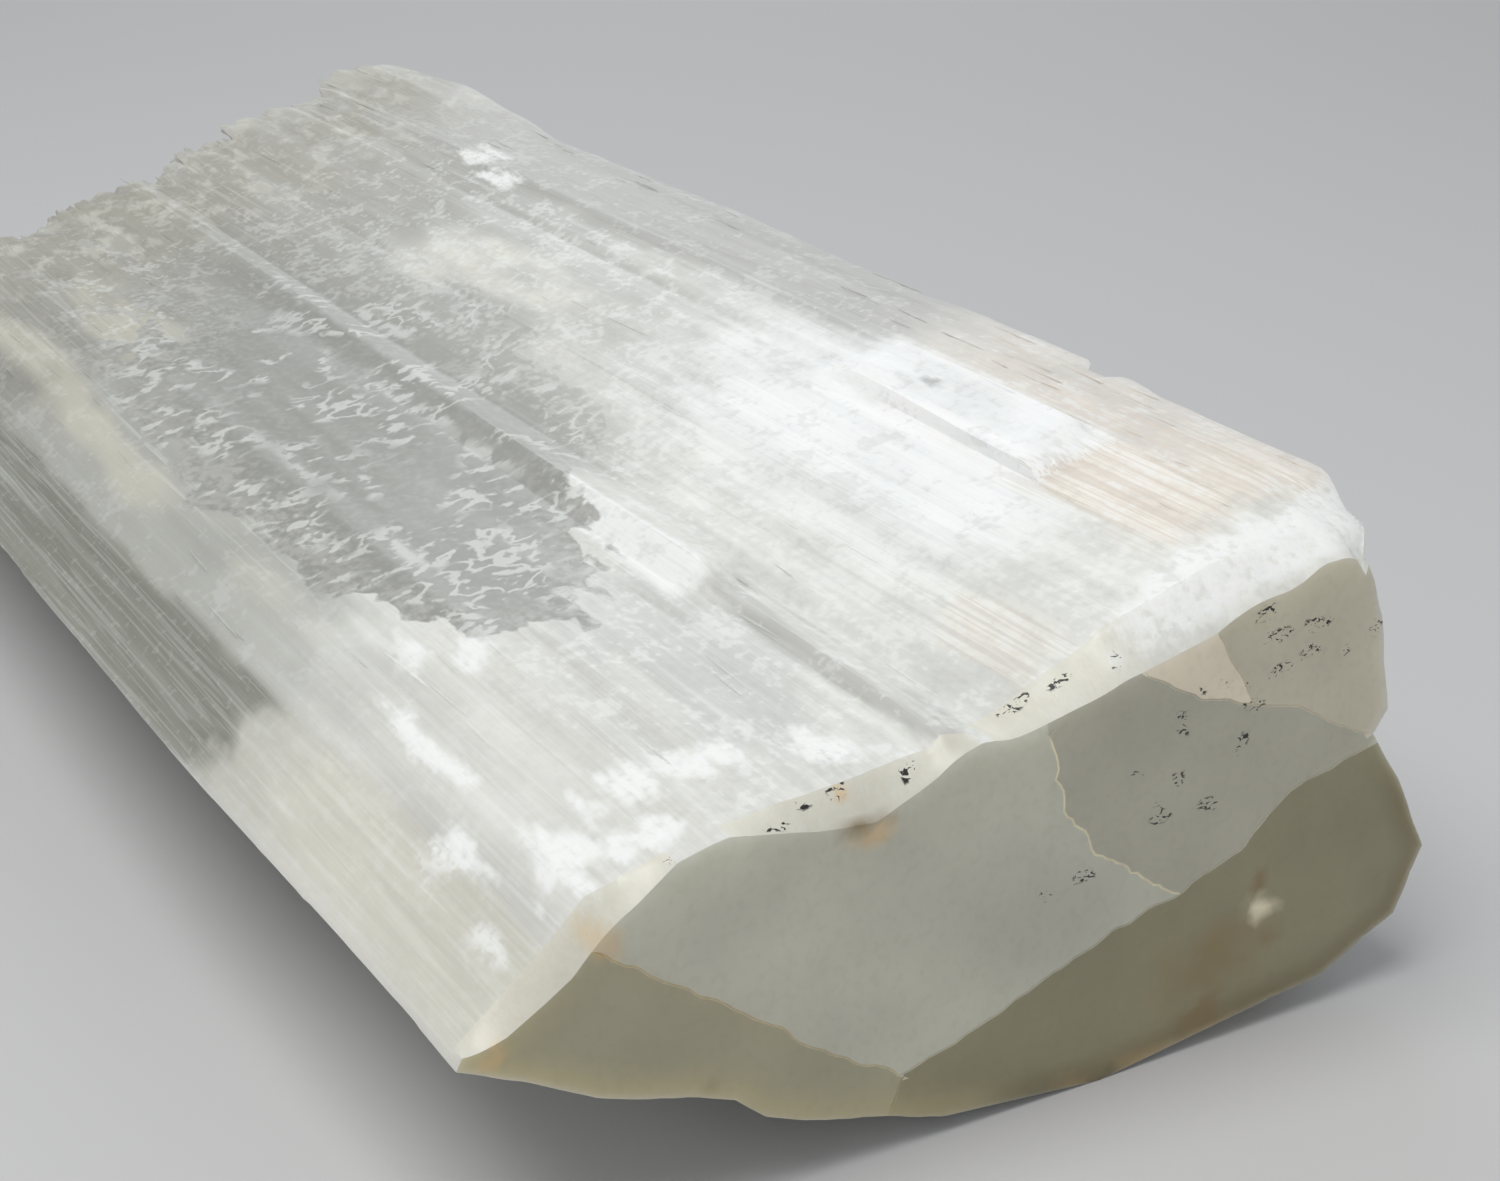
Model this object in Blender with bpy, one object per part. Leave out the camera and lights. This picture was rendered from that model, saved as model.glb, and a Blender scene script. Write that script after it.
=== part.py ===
"""A block of selenite: a bundle of parallel gypsum blades, grown together into one solid.

The blades run along Y. One end, at -Y, was sawn off flat. The other, at +Y, is a ragged natural break.
X runs across the blades, and Z is up from the face that the block rests on.
"""

import math

import bmesh
import bpy
import numpy as np
from mathutils import Vector, geometry, noise

# Driving dimensions, in millimetres unless a name says otherwise.
MM = 0.001
MEAN_LENGTH = 205.0  # from the sawn end to the break
TOP_HEIGHT = 42.0  # the crest above the resting face
MIDDLE_HEIGHT = 18.0  # the middle of the thickness, which the crumbled end shrinks towards

# The outline of the block at the sawn end, clockwise as seen from there, from the keel on the left.
# Each corner is a name, its x and z, and how many points lead from it to the next corner.
OUTLINE = (
    ("keel", -43.7, 18.2, 4),
    ("side_crease", -37.1, 23.9, 3),
    ("shoulder", -33.2, 27.4, 7),
    ("bench", -23.3, 30.2, 9),
    ("ledge_foot", -5.6, 31.9, 2),
    ("ledge_lip", -4.6, 32.7, 3),
    ("valley", -0.4, 32.0, 6),
    ("groove_foot", 9.4, 36.2, 1),
    ("groove_lip", 10.3, 36.9, 3),
    ("terrace", 16.0, 38.7, 3),
    ("plate_foot", 20.1, 40.2, 1),
    ("plate_lip", 20.9, 40.5, 5),
    ("plate_brow", 28.6, 42.2, 1),
    ("plate_toe", 29.4, 42.3, 2),
    ("crest", 32.4, 42.0, 2),
    ("right_shoulder", 33.6, 39.6, 3),
    ("cheek", 35.9, 34.4, 4),
    ("cheek_foot", 37.4, 26.0, 1),
    ("cleft", 36.2, 24.1, 2),
    ("bulge_top", 39.3, 19.3, 2),
    ("bulge", 43.0, 12.4, 2),
    ("heel", 40.4, 6.6, 2),
    ("heel_foot", 33.0, 3.0, 2),
    ("base_right", 26.5, 2.1, 3),
    ("base_middle", 10.4, 0.0, 3),
    ("base_left", -4.5, 1.6, 3),
    ("under_foot", -16.8, 5.5, 1),
    ("under_step", -20.0, 6.8, 1),
    ("under_lip", -22.5, 9.0, 3),
    ("under_bench", -33.6, 12.8, 2),
    ("keel_under", -39.0, 15.9, 2),
)
NAMES = [corner[0] for corner in OUTLINE]
LAST_TOP_CORNER = NAMES.index("right_shoulder")
BASE_CORNERS = (NAMES.index("base_right"), NAMES.index("base_left"))

# How far a corner has moved, in x and z, at some distances from the sawn end: its course along the block.
COURSES = {
    "keel": ((0, 0.0, 0.0), (60, -1.9, 1.1)),
    "side_crease": ((0, 0.0, 0.0), (70, -0.8, 1.0)),
    "keel_under": ((0, 0.0, 0.0), (70, -1.8, 0.6)),
    "ledge_foot": ((28, 0.0, 0.0), (42, -1.6, 0.3)),
    "ledge_lip": ((33, 0.0, 0.0), (40, 0.0, 1.3), (78, 0.0, 1.3), (98, 1.6, 0.5)),
    "valley": ((33, 0.0, 0.0), (40, 0.0, 1.1), (100, 0.0, 1.0)),
    "groove_lip": ((0, 0.0, 0.0), (50, -0.4, -0.5)),
    "plate_foot": ((0, 0.0, 0.0), (59, 1.6, 0.3)),
    "plate_lip": ((25.5, 0.0, 0.0), (27.5, 0.0, 1.1), (56, 1.4, 1.1), (62, 1.6, 0.0)),
    "plate_brow": ((28.5, 0.0, 0.0), (31, 0.0, 1.0), (56, -0.3, 1.0), (62, -0.3, 0.2)),
    "plate_toe": ((0, 0.0, 0.0), (60, 0.0, 0.2)),
    "crest": ((0, 0.0, 0.0), (20, 2.0, 0.9), (160, 2.2, 1.0), (195, 3.6, 2.8)),
    "right_shoulder": (
        (0, 0.0, 0.0), (4, 2.8, 1.9), (13, 5.9, 2.6), (32, 5.8, 2.9), (39, 6.8, 2.9), (40.5, 5.4, 2.9),
        (43, 5.4, 2.9), (45, 7.2, 2.9), (64, 7.3, 3.0), (74, 6.5, 3.0), (78, 7.3, 3.0), (110, 8.2, 3.0),
        (155, 7.2, 3.0), (172, 8.3, 3.8), (190, 8.8, 4.8), (206, 7.6, 4.6),
    ),
    "cheek": ((0, 0.0, 0.0), (13, 1.6, 0.8), (160, 2.6, 0.8), (195, 4.2, 0.8)),
    "cheek_foot": ((0, 0.0, 0.0), (13, 0.6, 0.4), (160, 1.0, 0.8), (195, 2.4, 0.8)),
    "heel_foot": ((0, 0.0, 0.0), (9, 0.0, -1.2)),
    "base_right": ((0, 0.0, 0.0), (9, -0.5, -2.1)),
    "base_left": ((0, 0.0, 0.0), (9, 0.5, -1.6)),
    "under_foot": ((0, 0.0, 0.0), (9, 0.0, -0.6)),
}

# Stations along the length: close together at the sawn end, where the chips are, and wider towards the break.
FRONT_STATIONS = (0.0, 1.8, 3.6)
FIRST_STEP = 2.5
STEP_GROWTH = 0.022

# The flats along the sawn end's upper edge: how far behind that end each starts, and how much height it takes
# off the face at some places across it.
EDGE_FLATS = (
    (1.8, ((-43.5, 0.0), (-40.0, 1.8), (-35.0, 3.0), (-30.0, 1.4), (-27.0, 0.0))),
    (1.8, ((-23.0, 0.0), (-16.0, 2.1), (-11.0, 3.1), (-6.0, 1.6), (-2.0, 0.0))),
    (3.6, ((-1.0, 0.0), (5.0, 1.5), (12.0, 2.9), (19.0, 3.4), (27.0, 1.7), (33.0, 0.6), (36.0, 0.0))),
)

# The crumbled corner behind the right-hand flat.
CRUMBLE_DROP = 1.1
CRUMBLE_START = (20.0, 30.0)
CRUMBLE_REACH = 11.0

# Natural unevenness: the slow wander of each corner line, broad lumps, and ribs along the blades. Each has a
# height and the distance over which it changes, across the blades and then along them.
DRIFT, DRIFT_LENGTH = 0.35, 60.0
DRIFT_START = 14.0
LUMP, LUMP_SIZE = 0.5, (20.0, 60.0)
RIB, RIB_SIZE = 0.4, (3.4, 110.0)

# The ragged end: where it lies at some places across the block, how much shorter the underside is, and how far
# its blocks and splinters stick out. Over its last stretch the block is crumbled and a little thinner.
BREAK_LINE = ((-46.0, 193.0), (-22.0, 203.0), (-6.0, 213.0), (24.0, 213.5), (45.0, 215.5))
BREAK_UNDERCUT = 7.0
BLOCK_SIZE = (8.0, 9.0)
BLOCK_JAG = 4.5
SPLINTER_SIZE = (2.6, 4.0)
SPLINTER_JAG = 2.6
END_CRUMBLE = 8.0
END_SHRINK = 0.04
BREAK_GRID = 4.2
BREAK_GRID_JITTER = 0.5
BREAK_LUMP, BREAK_LUMP_SIZE = 1.5, 6.0

COLOUR = (0.82, 0.82, 0.79, 1.0)
ROUGHNESS = 0.42


def smooth(low, high, value):
    """0 below low, 1 above high, and an even S-shaped rise between them."""
    share = min(1.0, max(0.0, (value - low) / (high - low)))
    return share * share * (3.0 - 2.0 * share)


def along(points, place):
    """The values at a place between hand-set points: a place first in each, then its values."""
    if place <= points[0][0]:
        return points[0][1:]
    for low, high in zip(points, points[1:]):
        if place < high[0]:
            share = smooth(low[0], high[0], place)
            return tuple(a + (b - a) * share for a, b in zip(low[1:], high[1:]))
    return points[-1][1:]


def wave(seed, a, b=0.0):
    """Even noise from -1 to 1, the same on every run."""
    return noise.noise(Vector((a, b, seed * 7.31 + 0.5)))


def flat_drop(x, y):
    """How far the flats along the sawn end's upper edge lie under the top, at y from that end."""
    return sum(along(heights, x)[0] * max(0.0, 1.0 - y / depth) for depth, heights in EDGE_FLATS)


def crumble_drop(x, y):
    """The broken corner at the right of the sawn end, where the top falls away to the flat."""
    fall = max(0.0, 1.0 - y / CRUMBLE_REACH)
    rough = 1.0 + 0.6 * wave(3, x / 3.0, y / 3.0)
    return CRUMBLE_DROP * smooth(*CRUMBLE_START, x) * fall * rough


def corner_place(index, y):
    """Where a corner of the outline lies at y from the sawn end, in millimetres."""
    name, x, z, _ = OUTLINE[index]
    dx, dz = along(COURSES.get(name, ((0, 0.0, 0.0),)), y)
    settle = smooth(0.0, DRIFT_START, y)
    x += dx + DRIFT * settle * wave(index, y / DRIFT_LENGTH)
    z += dz
    if not BASE_CORNERS[0] <= index <= BASE_CORNERS[1]:
        z += DRIFT * settle * wave(index + 40, y / DRIFT_LENGTH)
    return x, z


def end_length(x, z):
    """The length of the block at x, z of its section, where a bundle of fibres has snapped."""
    length = along(BREAK_LINE, x)[0] - BREAK_UNDERCUT * (1.0 - z / TOP_HEIGHT)
    block = noise.cell(Vector((x / BLOCK_SIZE[0] + 0.3, z / BLOCK_SIZE[1], 2.5)))
    splinter = noise.cell(Vector((x / SPLINTER_SIZE[0], z / SPLINTER_SIZE[1] + 0.4, 9.5)))
    return length + BLOCK_JAG * (block - 0.5) + SPLINTER_JAG * (splinter - 0.5)


def section_point(corner, share, y, left_to_break):
    """A point of the outline at y: share of the way from one corner to the next, with the stone's unevenness."""
    x0, z0 = corner_place(corner, y)
    x1, z1 = corner_place((corner + 1) % len(OUTLINE), y)
    x = x0 + (x1 - x0) * share
    z = z0 + (z1 - z0) * share
    on_base = BASE_CORNERS[0] <= corner < BASE_CORNERS[1] or (corner, share) == (BASE_CORNERS[1], 0.0)
    on_top = corner < LAST_TOP_CORNER or (corner, share) == (LAST_TOP_CORNER, 0.0)
    if on_top and corner + share > 0:
        z += LUMP * wave(11, x / LUMP_SIZE[0], y / LUMP_SIZE[1])
        z += RIB * wave(12, x / RIB_SIZE[0], y / RIB_SIZE[1])
        z -= flat_drop(x, y) + crumble_drop(x, y)
    elif not on_base:
        x += math.copysign(RIB, x) * wave(13, z / RIB_SIZE[0], y / RIB_SIZE[1])
    if not on_base:
        tail = max(0.0, 1.0 - left_to_break / END_CRUMBLE) ** 2
        inward = END_SHRINK * tail * (0.5 + 0.6 * wave(14, x / 4.0, z / 4.0))
        x -= x * inward
        z -= (z - MIDDLE_HEIGHT) * inward
    return x, z


def stations():
    """Distances from the sawn end, as if the break were straight across."""
    places = list(FRONT_STATIONS)
    while places[-1] < MEAN_LENGTH:
        places.append(places[-1] + FIRST_STEP + STEP_GROWTH * places[-1])
    places[-1] = MEAN_LENGTH
    if places[-1] - places[-2] < FIRST_STEP:
        del places[-2]
    return places


def rings():
    """All points of the block's side, one list for each station, in millimetres from the sawn end."""
    steps = [(corner, k / count) for corner, (_, _, _, count) in enumerate(OUTLINE) for k in range(count)]
    ends = []
    for corner, share in steps:
        x, z = section_point(corner, share, MEAN_LENGTH, END_CRUMBLE)
        ends.append(end_length(x, z))
    made = []
    for place in stations():
        ring = []
        for (corner, share), end in zip(steps, ends):
            y = place + (place / MEAN_LENGTH) ** 2 * (end - MEAN_LENGTH)
            x, z = section_point(corner, share, y, end - y)
            ring.append((x, y, z))
        made.append(ring)
    return made


def break_points(ring):
    """Points inside the break, on a jittered grid: in plan they lie within the last ring."""
    outline = [Vector((x, z)) for x, _, z in ring]
    xs = [p.x for p in outline]
    zs = [p.y for p in outline]
    found = []
    for column in range(int((max(xs) - min(xs)) / BREAK_GRID)):
        for row in range(int((max(zs) - min(zs)) / BREAK_GRID)):
            x = min(xs) + BREAK_GRID * (column + 0.7 + BREAK_GRID_JITTER * wave(21, column * 1.7, row * 2.3))
            z = min(zs) + BREAK_GRID * (row + 0.7 + BREAK_GRID_JITTER * wave(22, column * 2.9, row * 1.3))
            if is_inside(x, z, outline):
                lump = BREAK_LUMP * wave(23, x / BREAK_LUMP_SIZE, z / BREAK_LUMP_SIZE)
                found.append((x, end_length(x, z) + lump, z))
    return found


def is_inside(x, z, outline):
    """True if a point is within a closed outline and at least a third of the grid away from it."""
    crossings = 0
    nearest = math.inf
    for a, b in zip(outline, outline[1:] + outline[:1]):
        if (a.y > z) != (b.y > z) and x < a.x + (z - a.y) * (b.x - a.x) / (b.y - a.y):
            crossings += 1
        point, share = geometry.intersect_point_line(Vector((x, z)), a, b)
        share = min(1.0, max(0.0, share))
        nearest = min(nearest, (a.lerp(b, share) - Vector((x, z))).length)
    return crossings % 2 == 1 and nearest > BREAK_GRID / 3.0


def break_faces(ring, inside):
    """Triangles over the break, as indices into the ring's points followed by the inside ones."""
    count = len(ring)
    plan = [Vector((p[0], p[2])) for p in ring + inside]
    edges = [(i, (i + 1) % count) for i in range(count)]
    _, _, faces, originals, _, _ = geometry.delaunay_2d_cdt(plan, edges, [], 1, 1e-7)
    return [[originals[v][0] for v in face] for face in faces]


def stone_mesh():
    """The whole block as one closed mesh, in metres, its middle over the origin and its base at z 0."""
    side = rings()
    inside = break_points(side[-1])
    points = np.array([p for ring in side for p in ring] + inside) * MM
    low, high = points.min(axis=0), points.max(axis=0)
    points -= ((low[0] + high[0]) / 2, (low[1] + high[1]) / 2, low[2])
    around = len(side[0])
    made = bmesh.new()
    verts = [made.verts.new(p) for p in points]
    for row in range(len(side) - 1):
        for k in range(around):
            a = row * around + k
            b = row * around + (k + 1) % around
            made.faces.new((verts[a], verts[b], verts[b + around], verts[a + around]))
    made.faces.new([verts[k] for k in reversed(range(around))])
    last = (len(side) - 1) * around
    for face in break_faces(side[-1], inside):
        made.faces.new([verts[last + v] for v in face])
    bmesh.ops.recalc_face_normals(made, faces=made.faces)
    mesh = bpy.data.meshes.new("selenite")
    made.to_mesh(mesh)
    made.free()
    return mesh


def satin_stone():
    """Milky white stone with a satin finish."""
    material = bpy.data.materials.new("satin_stone")
    material.use_nodes = True
    surface = material.node_tree.nodes["Principled BSDF"]
    surface.inputs["Base Color"].default_value = COLOUR
    surface.inputs["Roughness"].default_value = ROUGHNESS
    surface.inputs["Metallic"].default_value = 0.0
    surface.inputs["Subsurface Weight"].default_value = 0.6
    surface.inputs["Subsurface Radius"].default_value = (0.009, 0.008, 0.007)
    surface.inputs["Subsurface Scale"].default_value = 1.0
    return material


def clear_scene():
    for obj in list(bpy.data.objects):
        bpy.data.objects.remove(obj)


def main():
    clear_scene()
    mesh = stone_mesh()
    mesh.materials.append(satin_stone())
    mesh.shade_smooth()
    mesh.set_sharp_from_angle(angle=math.radians(28.0))
    stone = bpy.data.objects.new("selenite", mesh)
    bpy.context.scene.collection.objects.link(stone)


main()
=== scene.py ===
# %% [markdown]
# # A block of selenite
# Selenite is gypsum that grew as long, milky blades, all in one direction. This block was sawn off at one end, where
# the cut blades show as grey, glassy areas, and it broke off at the other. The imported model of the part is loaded
# first: it says how large the block is and where it lies, and the fine surface below has to stay inside its box.

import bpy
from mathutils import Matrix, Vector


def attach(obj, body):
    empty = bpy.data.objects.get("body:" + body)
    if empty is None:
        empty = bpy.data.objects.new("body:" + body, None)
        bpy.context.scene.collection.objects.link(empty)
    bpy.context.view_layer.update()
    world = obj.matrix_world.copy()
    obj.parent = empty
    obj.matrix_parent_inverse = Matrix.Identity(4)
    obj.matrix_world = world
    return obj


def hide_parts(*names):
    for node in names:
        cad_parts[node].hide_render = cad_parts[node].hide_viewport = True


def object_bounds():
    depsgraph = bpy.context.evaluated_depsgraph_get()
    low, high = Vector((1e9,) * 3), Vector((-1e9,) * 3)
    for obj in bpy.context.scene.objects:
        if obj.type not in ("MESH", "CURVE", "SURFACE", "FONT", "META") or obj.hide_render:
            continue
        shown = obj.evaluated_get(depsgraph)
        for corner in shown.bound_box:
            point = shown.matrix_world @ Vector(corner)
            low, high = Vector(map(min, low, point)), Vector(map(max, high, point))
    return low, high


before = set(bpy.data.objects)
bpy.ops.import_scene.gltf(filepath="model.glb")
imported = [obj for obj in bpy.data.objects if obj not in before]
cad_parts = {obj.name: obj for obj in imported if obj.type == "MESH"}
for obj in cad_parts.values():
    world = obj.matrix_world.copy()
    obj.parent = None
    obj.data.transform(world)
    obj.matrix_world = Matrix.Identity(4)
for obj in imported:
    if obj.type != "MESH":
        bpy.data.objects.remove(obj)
cad_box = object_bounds()
print("CAD box, in mm:", [round(side * 1000, 1) for side in cad_box[1] - cad_box[0]])

# %% [markdown]
# ## Sizes of the block
# The real block's corner lines run straight along the blades, from the sawn end to the break. It could be sculpted by
# hand, but a list of the corners in one cross-section, with a course for each corner that wanders, says the same
# thing with a few numbers. They are the numbers that the solid was made from, so the fine surface fits it.

# %% The outline and the corner lines
import math

import bmesh
import bpy
import numpy as np
from mathutils import Vector, geometry, noise

MM = 0.001
MEAN_LENGTH = 205.0
TOP_HEIGHT = 42.0
MIDDLE_HEIGHT = 18.0

OUTLINE = (
    ("keel", -43.7, 18.2),
    ("side_crease", -37.1, 23.9),
    ("shoulder", -33.2, 27.4),
    ("bench", -23.3, 30.2),
    ("ledge_foot", -5.6, 31.9),
    ("ledge_lip", -4.6, 32.7),
    ("valley", -0.4, 32.0),
    ("groove_foot", 9.4, 36.2),
    ("groove_lip", 10.3, 36.9),
    ("terrace", 16.0, 38.7),
    ("plate_foot", 20.1, 40.2),
    ("plate_lip", 20.9, 40.5),
    ("plate_brow", 28.6, 42.2),
    ("plate_toe", 29.4, 42.3),
    ("crest", 32.4, 42.0),
    ("right_shoulder", 33.6, 39.6),
    ("cheek", 35.9, 34.4),
    ("cheek_foot", 37.4, 26.0),
    ("cleft", 36.2, 24.1),
    ("bulge_top", 39.3, 19.3),
    ("bulge", 43.0, 12.4),
    ("heel", 40.4, 6.6),
    ("heel_foot", 33.0, 3.0),
    ("base_right", 26.5, 2.1),
    ("base_middle", 10.4, 0.0),
    ("base_left", -4.5, 1.6),
    ("under_foot", -16.8, 5.5),
    ("under_step", -20.0, 6.8),
    ("under_lip", -22.5, 9.0),
    ("under_bench", -33.6, 12.8),
    ("keel_under", -39.0, 15.9),
)
NAMES = [corner[0] for corner in OUTLINE]
SHOULDER, RIGHT_SHOULDER = NAMES.index("shoulder"), NAMES.index("right_shoulder")
BASE_RIGHT, BASE_LEFT = NAMES.index("base_right"), NAMES.index("base_left")

COURSES = {
    "keel": ((0, 0.0, 0.0), (60, -1.9, 1.1)),
    "side_crease": ((0, 0.0, 0.0), (70, -0.8, 1.0)),
    "keel_under": ((0, 0.0, 0.0), (70, -1.8, 0.6)),
    "ledge_foot": ((28, 0.0, 0.0), (42, -1.6, 0.3)),
    "ledge_lip": ((33, 0.0, 0.0), (40, 0.0, 1.3), (78, 0.0, 1.3), (98, 1.6, 0.5)),
    "valley": ((33, 0.0, 0.0), (40, 0.0, 1.1), (100, 0.0, 1.0)),
    "groove_lip": ((0, 0.0, 0.0), (50, -0.4, -0.5)),
    "plate_foot": ((0, 0.0, 0.0), (59, 1.6, 0.3)),
    "plate_lip": ((25.5, 0.0, 0.0), (27.5, 0.0, 1.1), (56, 1.4, 1.1), (62, 1.6, 0.0)),
    "plate_brow": ((28.5, 0.0, 0.0), (31, 0.0, 1.0), (56, -0.3, 1.0), (62, -0.3, 0.2)),
    "plate_toe": ((0, 0.0, 0.0), (60, 0.0, 0.2)),
    "crest": ((0, 0.0, 0.0), (20, 2.0, 0.9), (160, 2.2, 1.0), (195, 3.6, 2.8)),
    "right_shoulder": (
        (0, 0.0, 0.0), (4, 2.8, 1.9), (13, 5.9, 2.6), (32, 5.8, 2.9), (39, 6.8, 2.9), (40.5, 5.4, 2.9),
        (43, 5.4, 2.9), (45, 7.2, 2.9), (64, 7.3, 3.0), (74, 6.5, 3.0), (78, 7.3, 3.0), (110, 8.2, 3.0),
        (155, 7.2, 3.0), (172, 8.3, 3.8), (190, 8.8, 4.8), (206, 7.6, 4.6),
    ),
    "cheek": ((0, 0.0, 0.0), (13, 1.6, 0.8), (160, 2.6, 0.8), (195, 4.2, 0.8)),
    "cheek_foot": ((0, 0.0, 0.0), (13, 0.6, 0.4), (160, 1.0, 0.8), (195, 2.4, 0.8)),
    "heel_foot": ((0, 0.0, 0.0), (9, 0.0, -1.2)),
    "base_right": ((0, 0.0, 0.0), (9, -0.5, -2.1)),
    "base_left": ((0, 0.0, 0.0), (9, 0.5, -1.6)),
    "under_foot": ((0, 0.0, 0.0), (9, 0.0, -0.6)),
}
print(len(OUTLINE), "corner lines,", len(COURSES), "of them with a course of their own")

# %% [markdown]
# ## Small helpers
# Natural unevenness has to look random and still be the same on every run. Blender's own noise functions do that:
# they give a value for a place, so nothing is drawn by chance.


# %% Curves and noise
def smooth(low, high, value):
    """0 below low, 1 above high, and an even S-shaped rise between them. It takes arrays too."""
    share = np.clip((value - low) / (high - low), 0.0, 1.0)
    return share * share * (3.0 - 2.0 * share)


def along(points, place):
    """The values at an array of places between given points: a place first in each, then its values."""
    values = np.zeros(np.shape(place) + (len(points[0]) - 1,)) + points[0][1:]
    for low, high in zip(points, points[1:]):
        values += smooth(low[0], high[0], place)[..., None] * np.subtract(high[1:], low[1:])
    return values


def wave(seed, a, b):
    """Even noise from about -1 to 1 at each place of two arrays."""
    a, b = np.broadcast_arrays(a, b)
    height = seed * 7.31 + 0.5
    values = [noise.noise((p, q, height)) for p, q in zip(a.flat, b.flat)]
    return np.array(values).reshape(a.shape)


def cells(seed, a, b):
    """A random value from 0 to 1 for each unit square that the places of two arrays fall in."""
    a, b = np.broadcast_arrays(a, b)
    values = [noise.cell((p, q, seed + 0.5)) for p, q in zip(a.flat, b.flat)]
    return np.array(values).reshape(a.shape)


# %% [markdown]
# ## A fine net over the block
# The surface is a net of rings, one ring for each station along the block. Blades are much longer than they are wide,
# so the net's meshes are too: a third of a millimetre across the top, and over a millimetre along it. Underneath,
# where only the table sees it, the net is coarser.

# %% Rings and stations
TOP_SPACING, SIDE_SPACING, UNDER_SPACING = 0.36, 0.55, 1.1
FRONT_STATIONS = (0.0, 0.45, 0.9, 1.35, 1.8, 2.4, 3.0, 3.6)
STATION_STEP = 1.22


def ring_plan():
    """For each point of a ring, the corner it follows and its share of the way to the next one."""
    plan = []
    for index, (_, x, z) in enumerate(OUTLINE):
        _, next_x, next_z = OUTLINE[(index + 1) % len(OUTLINE)]
        length = math.hypot(next_x - x, next_z - z)
        if SHOULDER <= index < RIGHT_SHOULDER:
            spacing = TOP_SPACING
        elif RIGHT_SHOULDER <= index < NAMES.index("heel") or index < SHOULDER:
            spacing = SIDE_SPACING
        else:
            spacing = UNDER_SPACING
        count = max(2, round(length / spacing))
        plan += [(index, k / count) for k in range(count)]
    corner, share = zip(*plan)
    return np.array(corner), np.array(share)


def station_places():
    """Distances from the sawn end, as if the break were straight across."""
    count = round((MEAN_LENGTH - FRONT_STATIONS[-1]) / STATION_STEP)
    rest = np.linspace(FRONT_STATIONS[-1], MEAN_LENGTH, count + 1)[1:]
    return np.concatenate([FRONT_STATIONS, rest])


corner_of, share_of = ring_plan()
places = station_places()
print(len(places), "stations of", len(corner_of), "points")

# %% [markdown]
# ## The chipped upper edge
# Chips have left flats along the sawn end's upper edge, and its right corner is crumbled. A Boolean could cut them,
# but it would break up the net of rings. So they are taken off the top's height, with the numbers the solid has.

# %% Flats and crumbs
EDGE_FLATS = (
    (1.8, ((-43.5, 0.0), (-40.0, 1.8), (-35.0, 3.0), (-30.0, 1.4), (-27.0, 0.0))),
    (1.8, ((-23.0, 0.0), (-16.0, 2.1), (-11.0, 3.1), (-6.0, 1.6), (-2.0, 0.0))),
    (3.6, ((-1.0, 0.0), (5.0, 1.5), (12.0, 2.9), (19.0, 3.4), (27.0, 1.7), (33.0, 0.6), (36.0, 0.0))),
)
WIDE_FLAT_START = -1.5
PLANED_POINTS, PLANED_FADE = 19, 1.3
CRUMBLE_DROP, CRUMBLE_START, CRUMBLE_REACH = 1.1, (20.0, 30.0), 11.0
CRUMB_SIZE, CRUMB_DEPTH = 3.0, 0.6


def flat_drop(x, y):
    """How far the flats along the sawn end's upper edge lie under the top."""
    drop = np.zeros_like(x)
    for depth, heights in EDGE_FLATS:
        stops, values = zip(*heights)
        drop += np.interp(x, stops, values) * np.clip(1.0 - y / depth, 0.0, 1.0)
    return drop


def crumble_drop(x, y):
    """The broken corner at the right of the sawn end."""
    fall = np.clip(1.0 - y / CRUMBLE_REACH, 0.0, 1.0)
    crumbs = 1.0 + CRUMB_DEPTH * wave(3, x / CRUMB_SIZE, y / CRUMB_SIZE)
    return CRUMBLE_DROP * smooth(*CRUMBLE_START, x) * fall * crumbs


def planed(x, y, z):
    """Heights of the top, evened out where the flats along the sawn end are."""
    kernel = np.hanning(PLANED_POINTS + 2)[1:-1]
    padded = np.pad(z, ((0, 0), (PLANED_POINTS // 2, PLANED_POINTS // 2)), mode="edge")
    even = np.array([np.convolve(row, kernel / kernel.sum(), mode="valid") for row in padded])
    depth = np.where(x < WIDE_FLAT_START, EDGE_FLATS[0][0], EDGE_FLATS[2][0])
    return z + (even - z) * np.clip(PLANED_FADE * (1.0 - y / depth), 0.0, 1.0)


print(len(EDGE_FLATS), "flats, up to", max(depth for depth, _ in EDGE_FLATS), "mm wide")

# %% [markdown]
# ## Where the clear window lies
# A part of the top is clear inside, and its surface is smooth too. A mask painted by hand would belong to one net of
# points. Two lines along the block, its left and its right border, can be asked about any place.

# %% Border of the clear window
WINDOW = (
    (34, -16.0, -15.0), (36.8, -18.5, -12.0), (41, -24.5, -10.5), (48.7, -27.2, -8.6), (57, -29.6, -6.0),
    (68, -30.4, 0.0), (81, -30.6, 6.6), (100, -29.5, 8.5), (127, -26.0, 9.5), (148, -20.5, 10.0),
    (160, -15.0, 10.0), (168, -9.0, 6.0), (173, -2.0, -1.0),
)
OUTSIDE = -9.0


def window_depth(x, y):
    """How far inside the border of the smooth, clear window places lie, in mm; below 0 outside."""
    stops, lefts, rights = zip(*WINDOW)
    depth = np.minimum(x - np.interp(y, stops, lefts), np.interp(y, stops, rights) - x)
    return np.where((y < stops[0]) | (y > stops[-1]), OUTSIDE, depth)


print("the window starts", WINDOW[0][0], "mm from the saw and ends at", WINDOW[-1][0], "mm")

# %% [markdown]
# ## The form of the block
# The form comes from the corner lines: each ring joins its corners with straight runs. Sculpting would lose the
# straight blades. Slow noise adds lumps and ribs, as on the solid, and the edges beside and below are ragged. In the
# clear window the ribs are faint.

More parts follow.
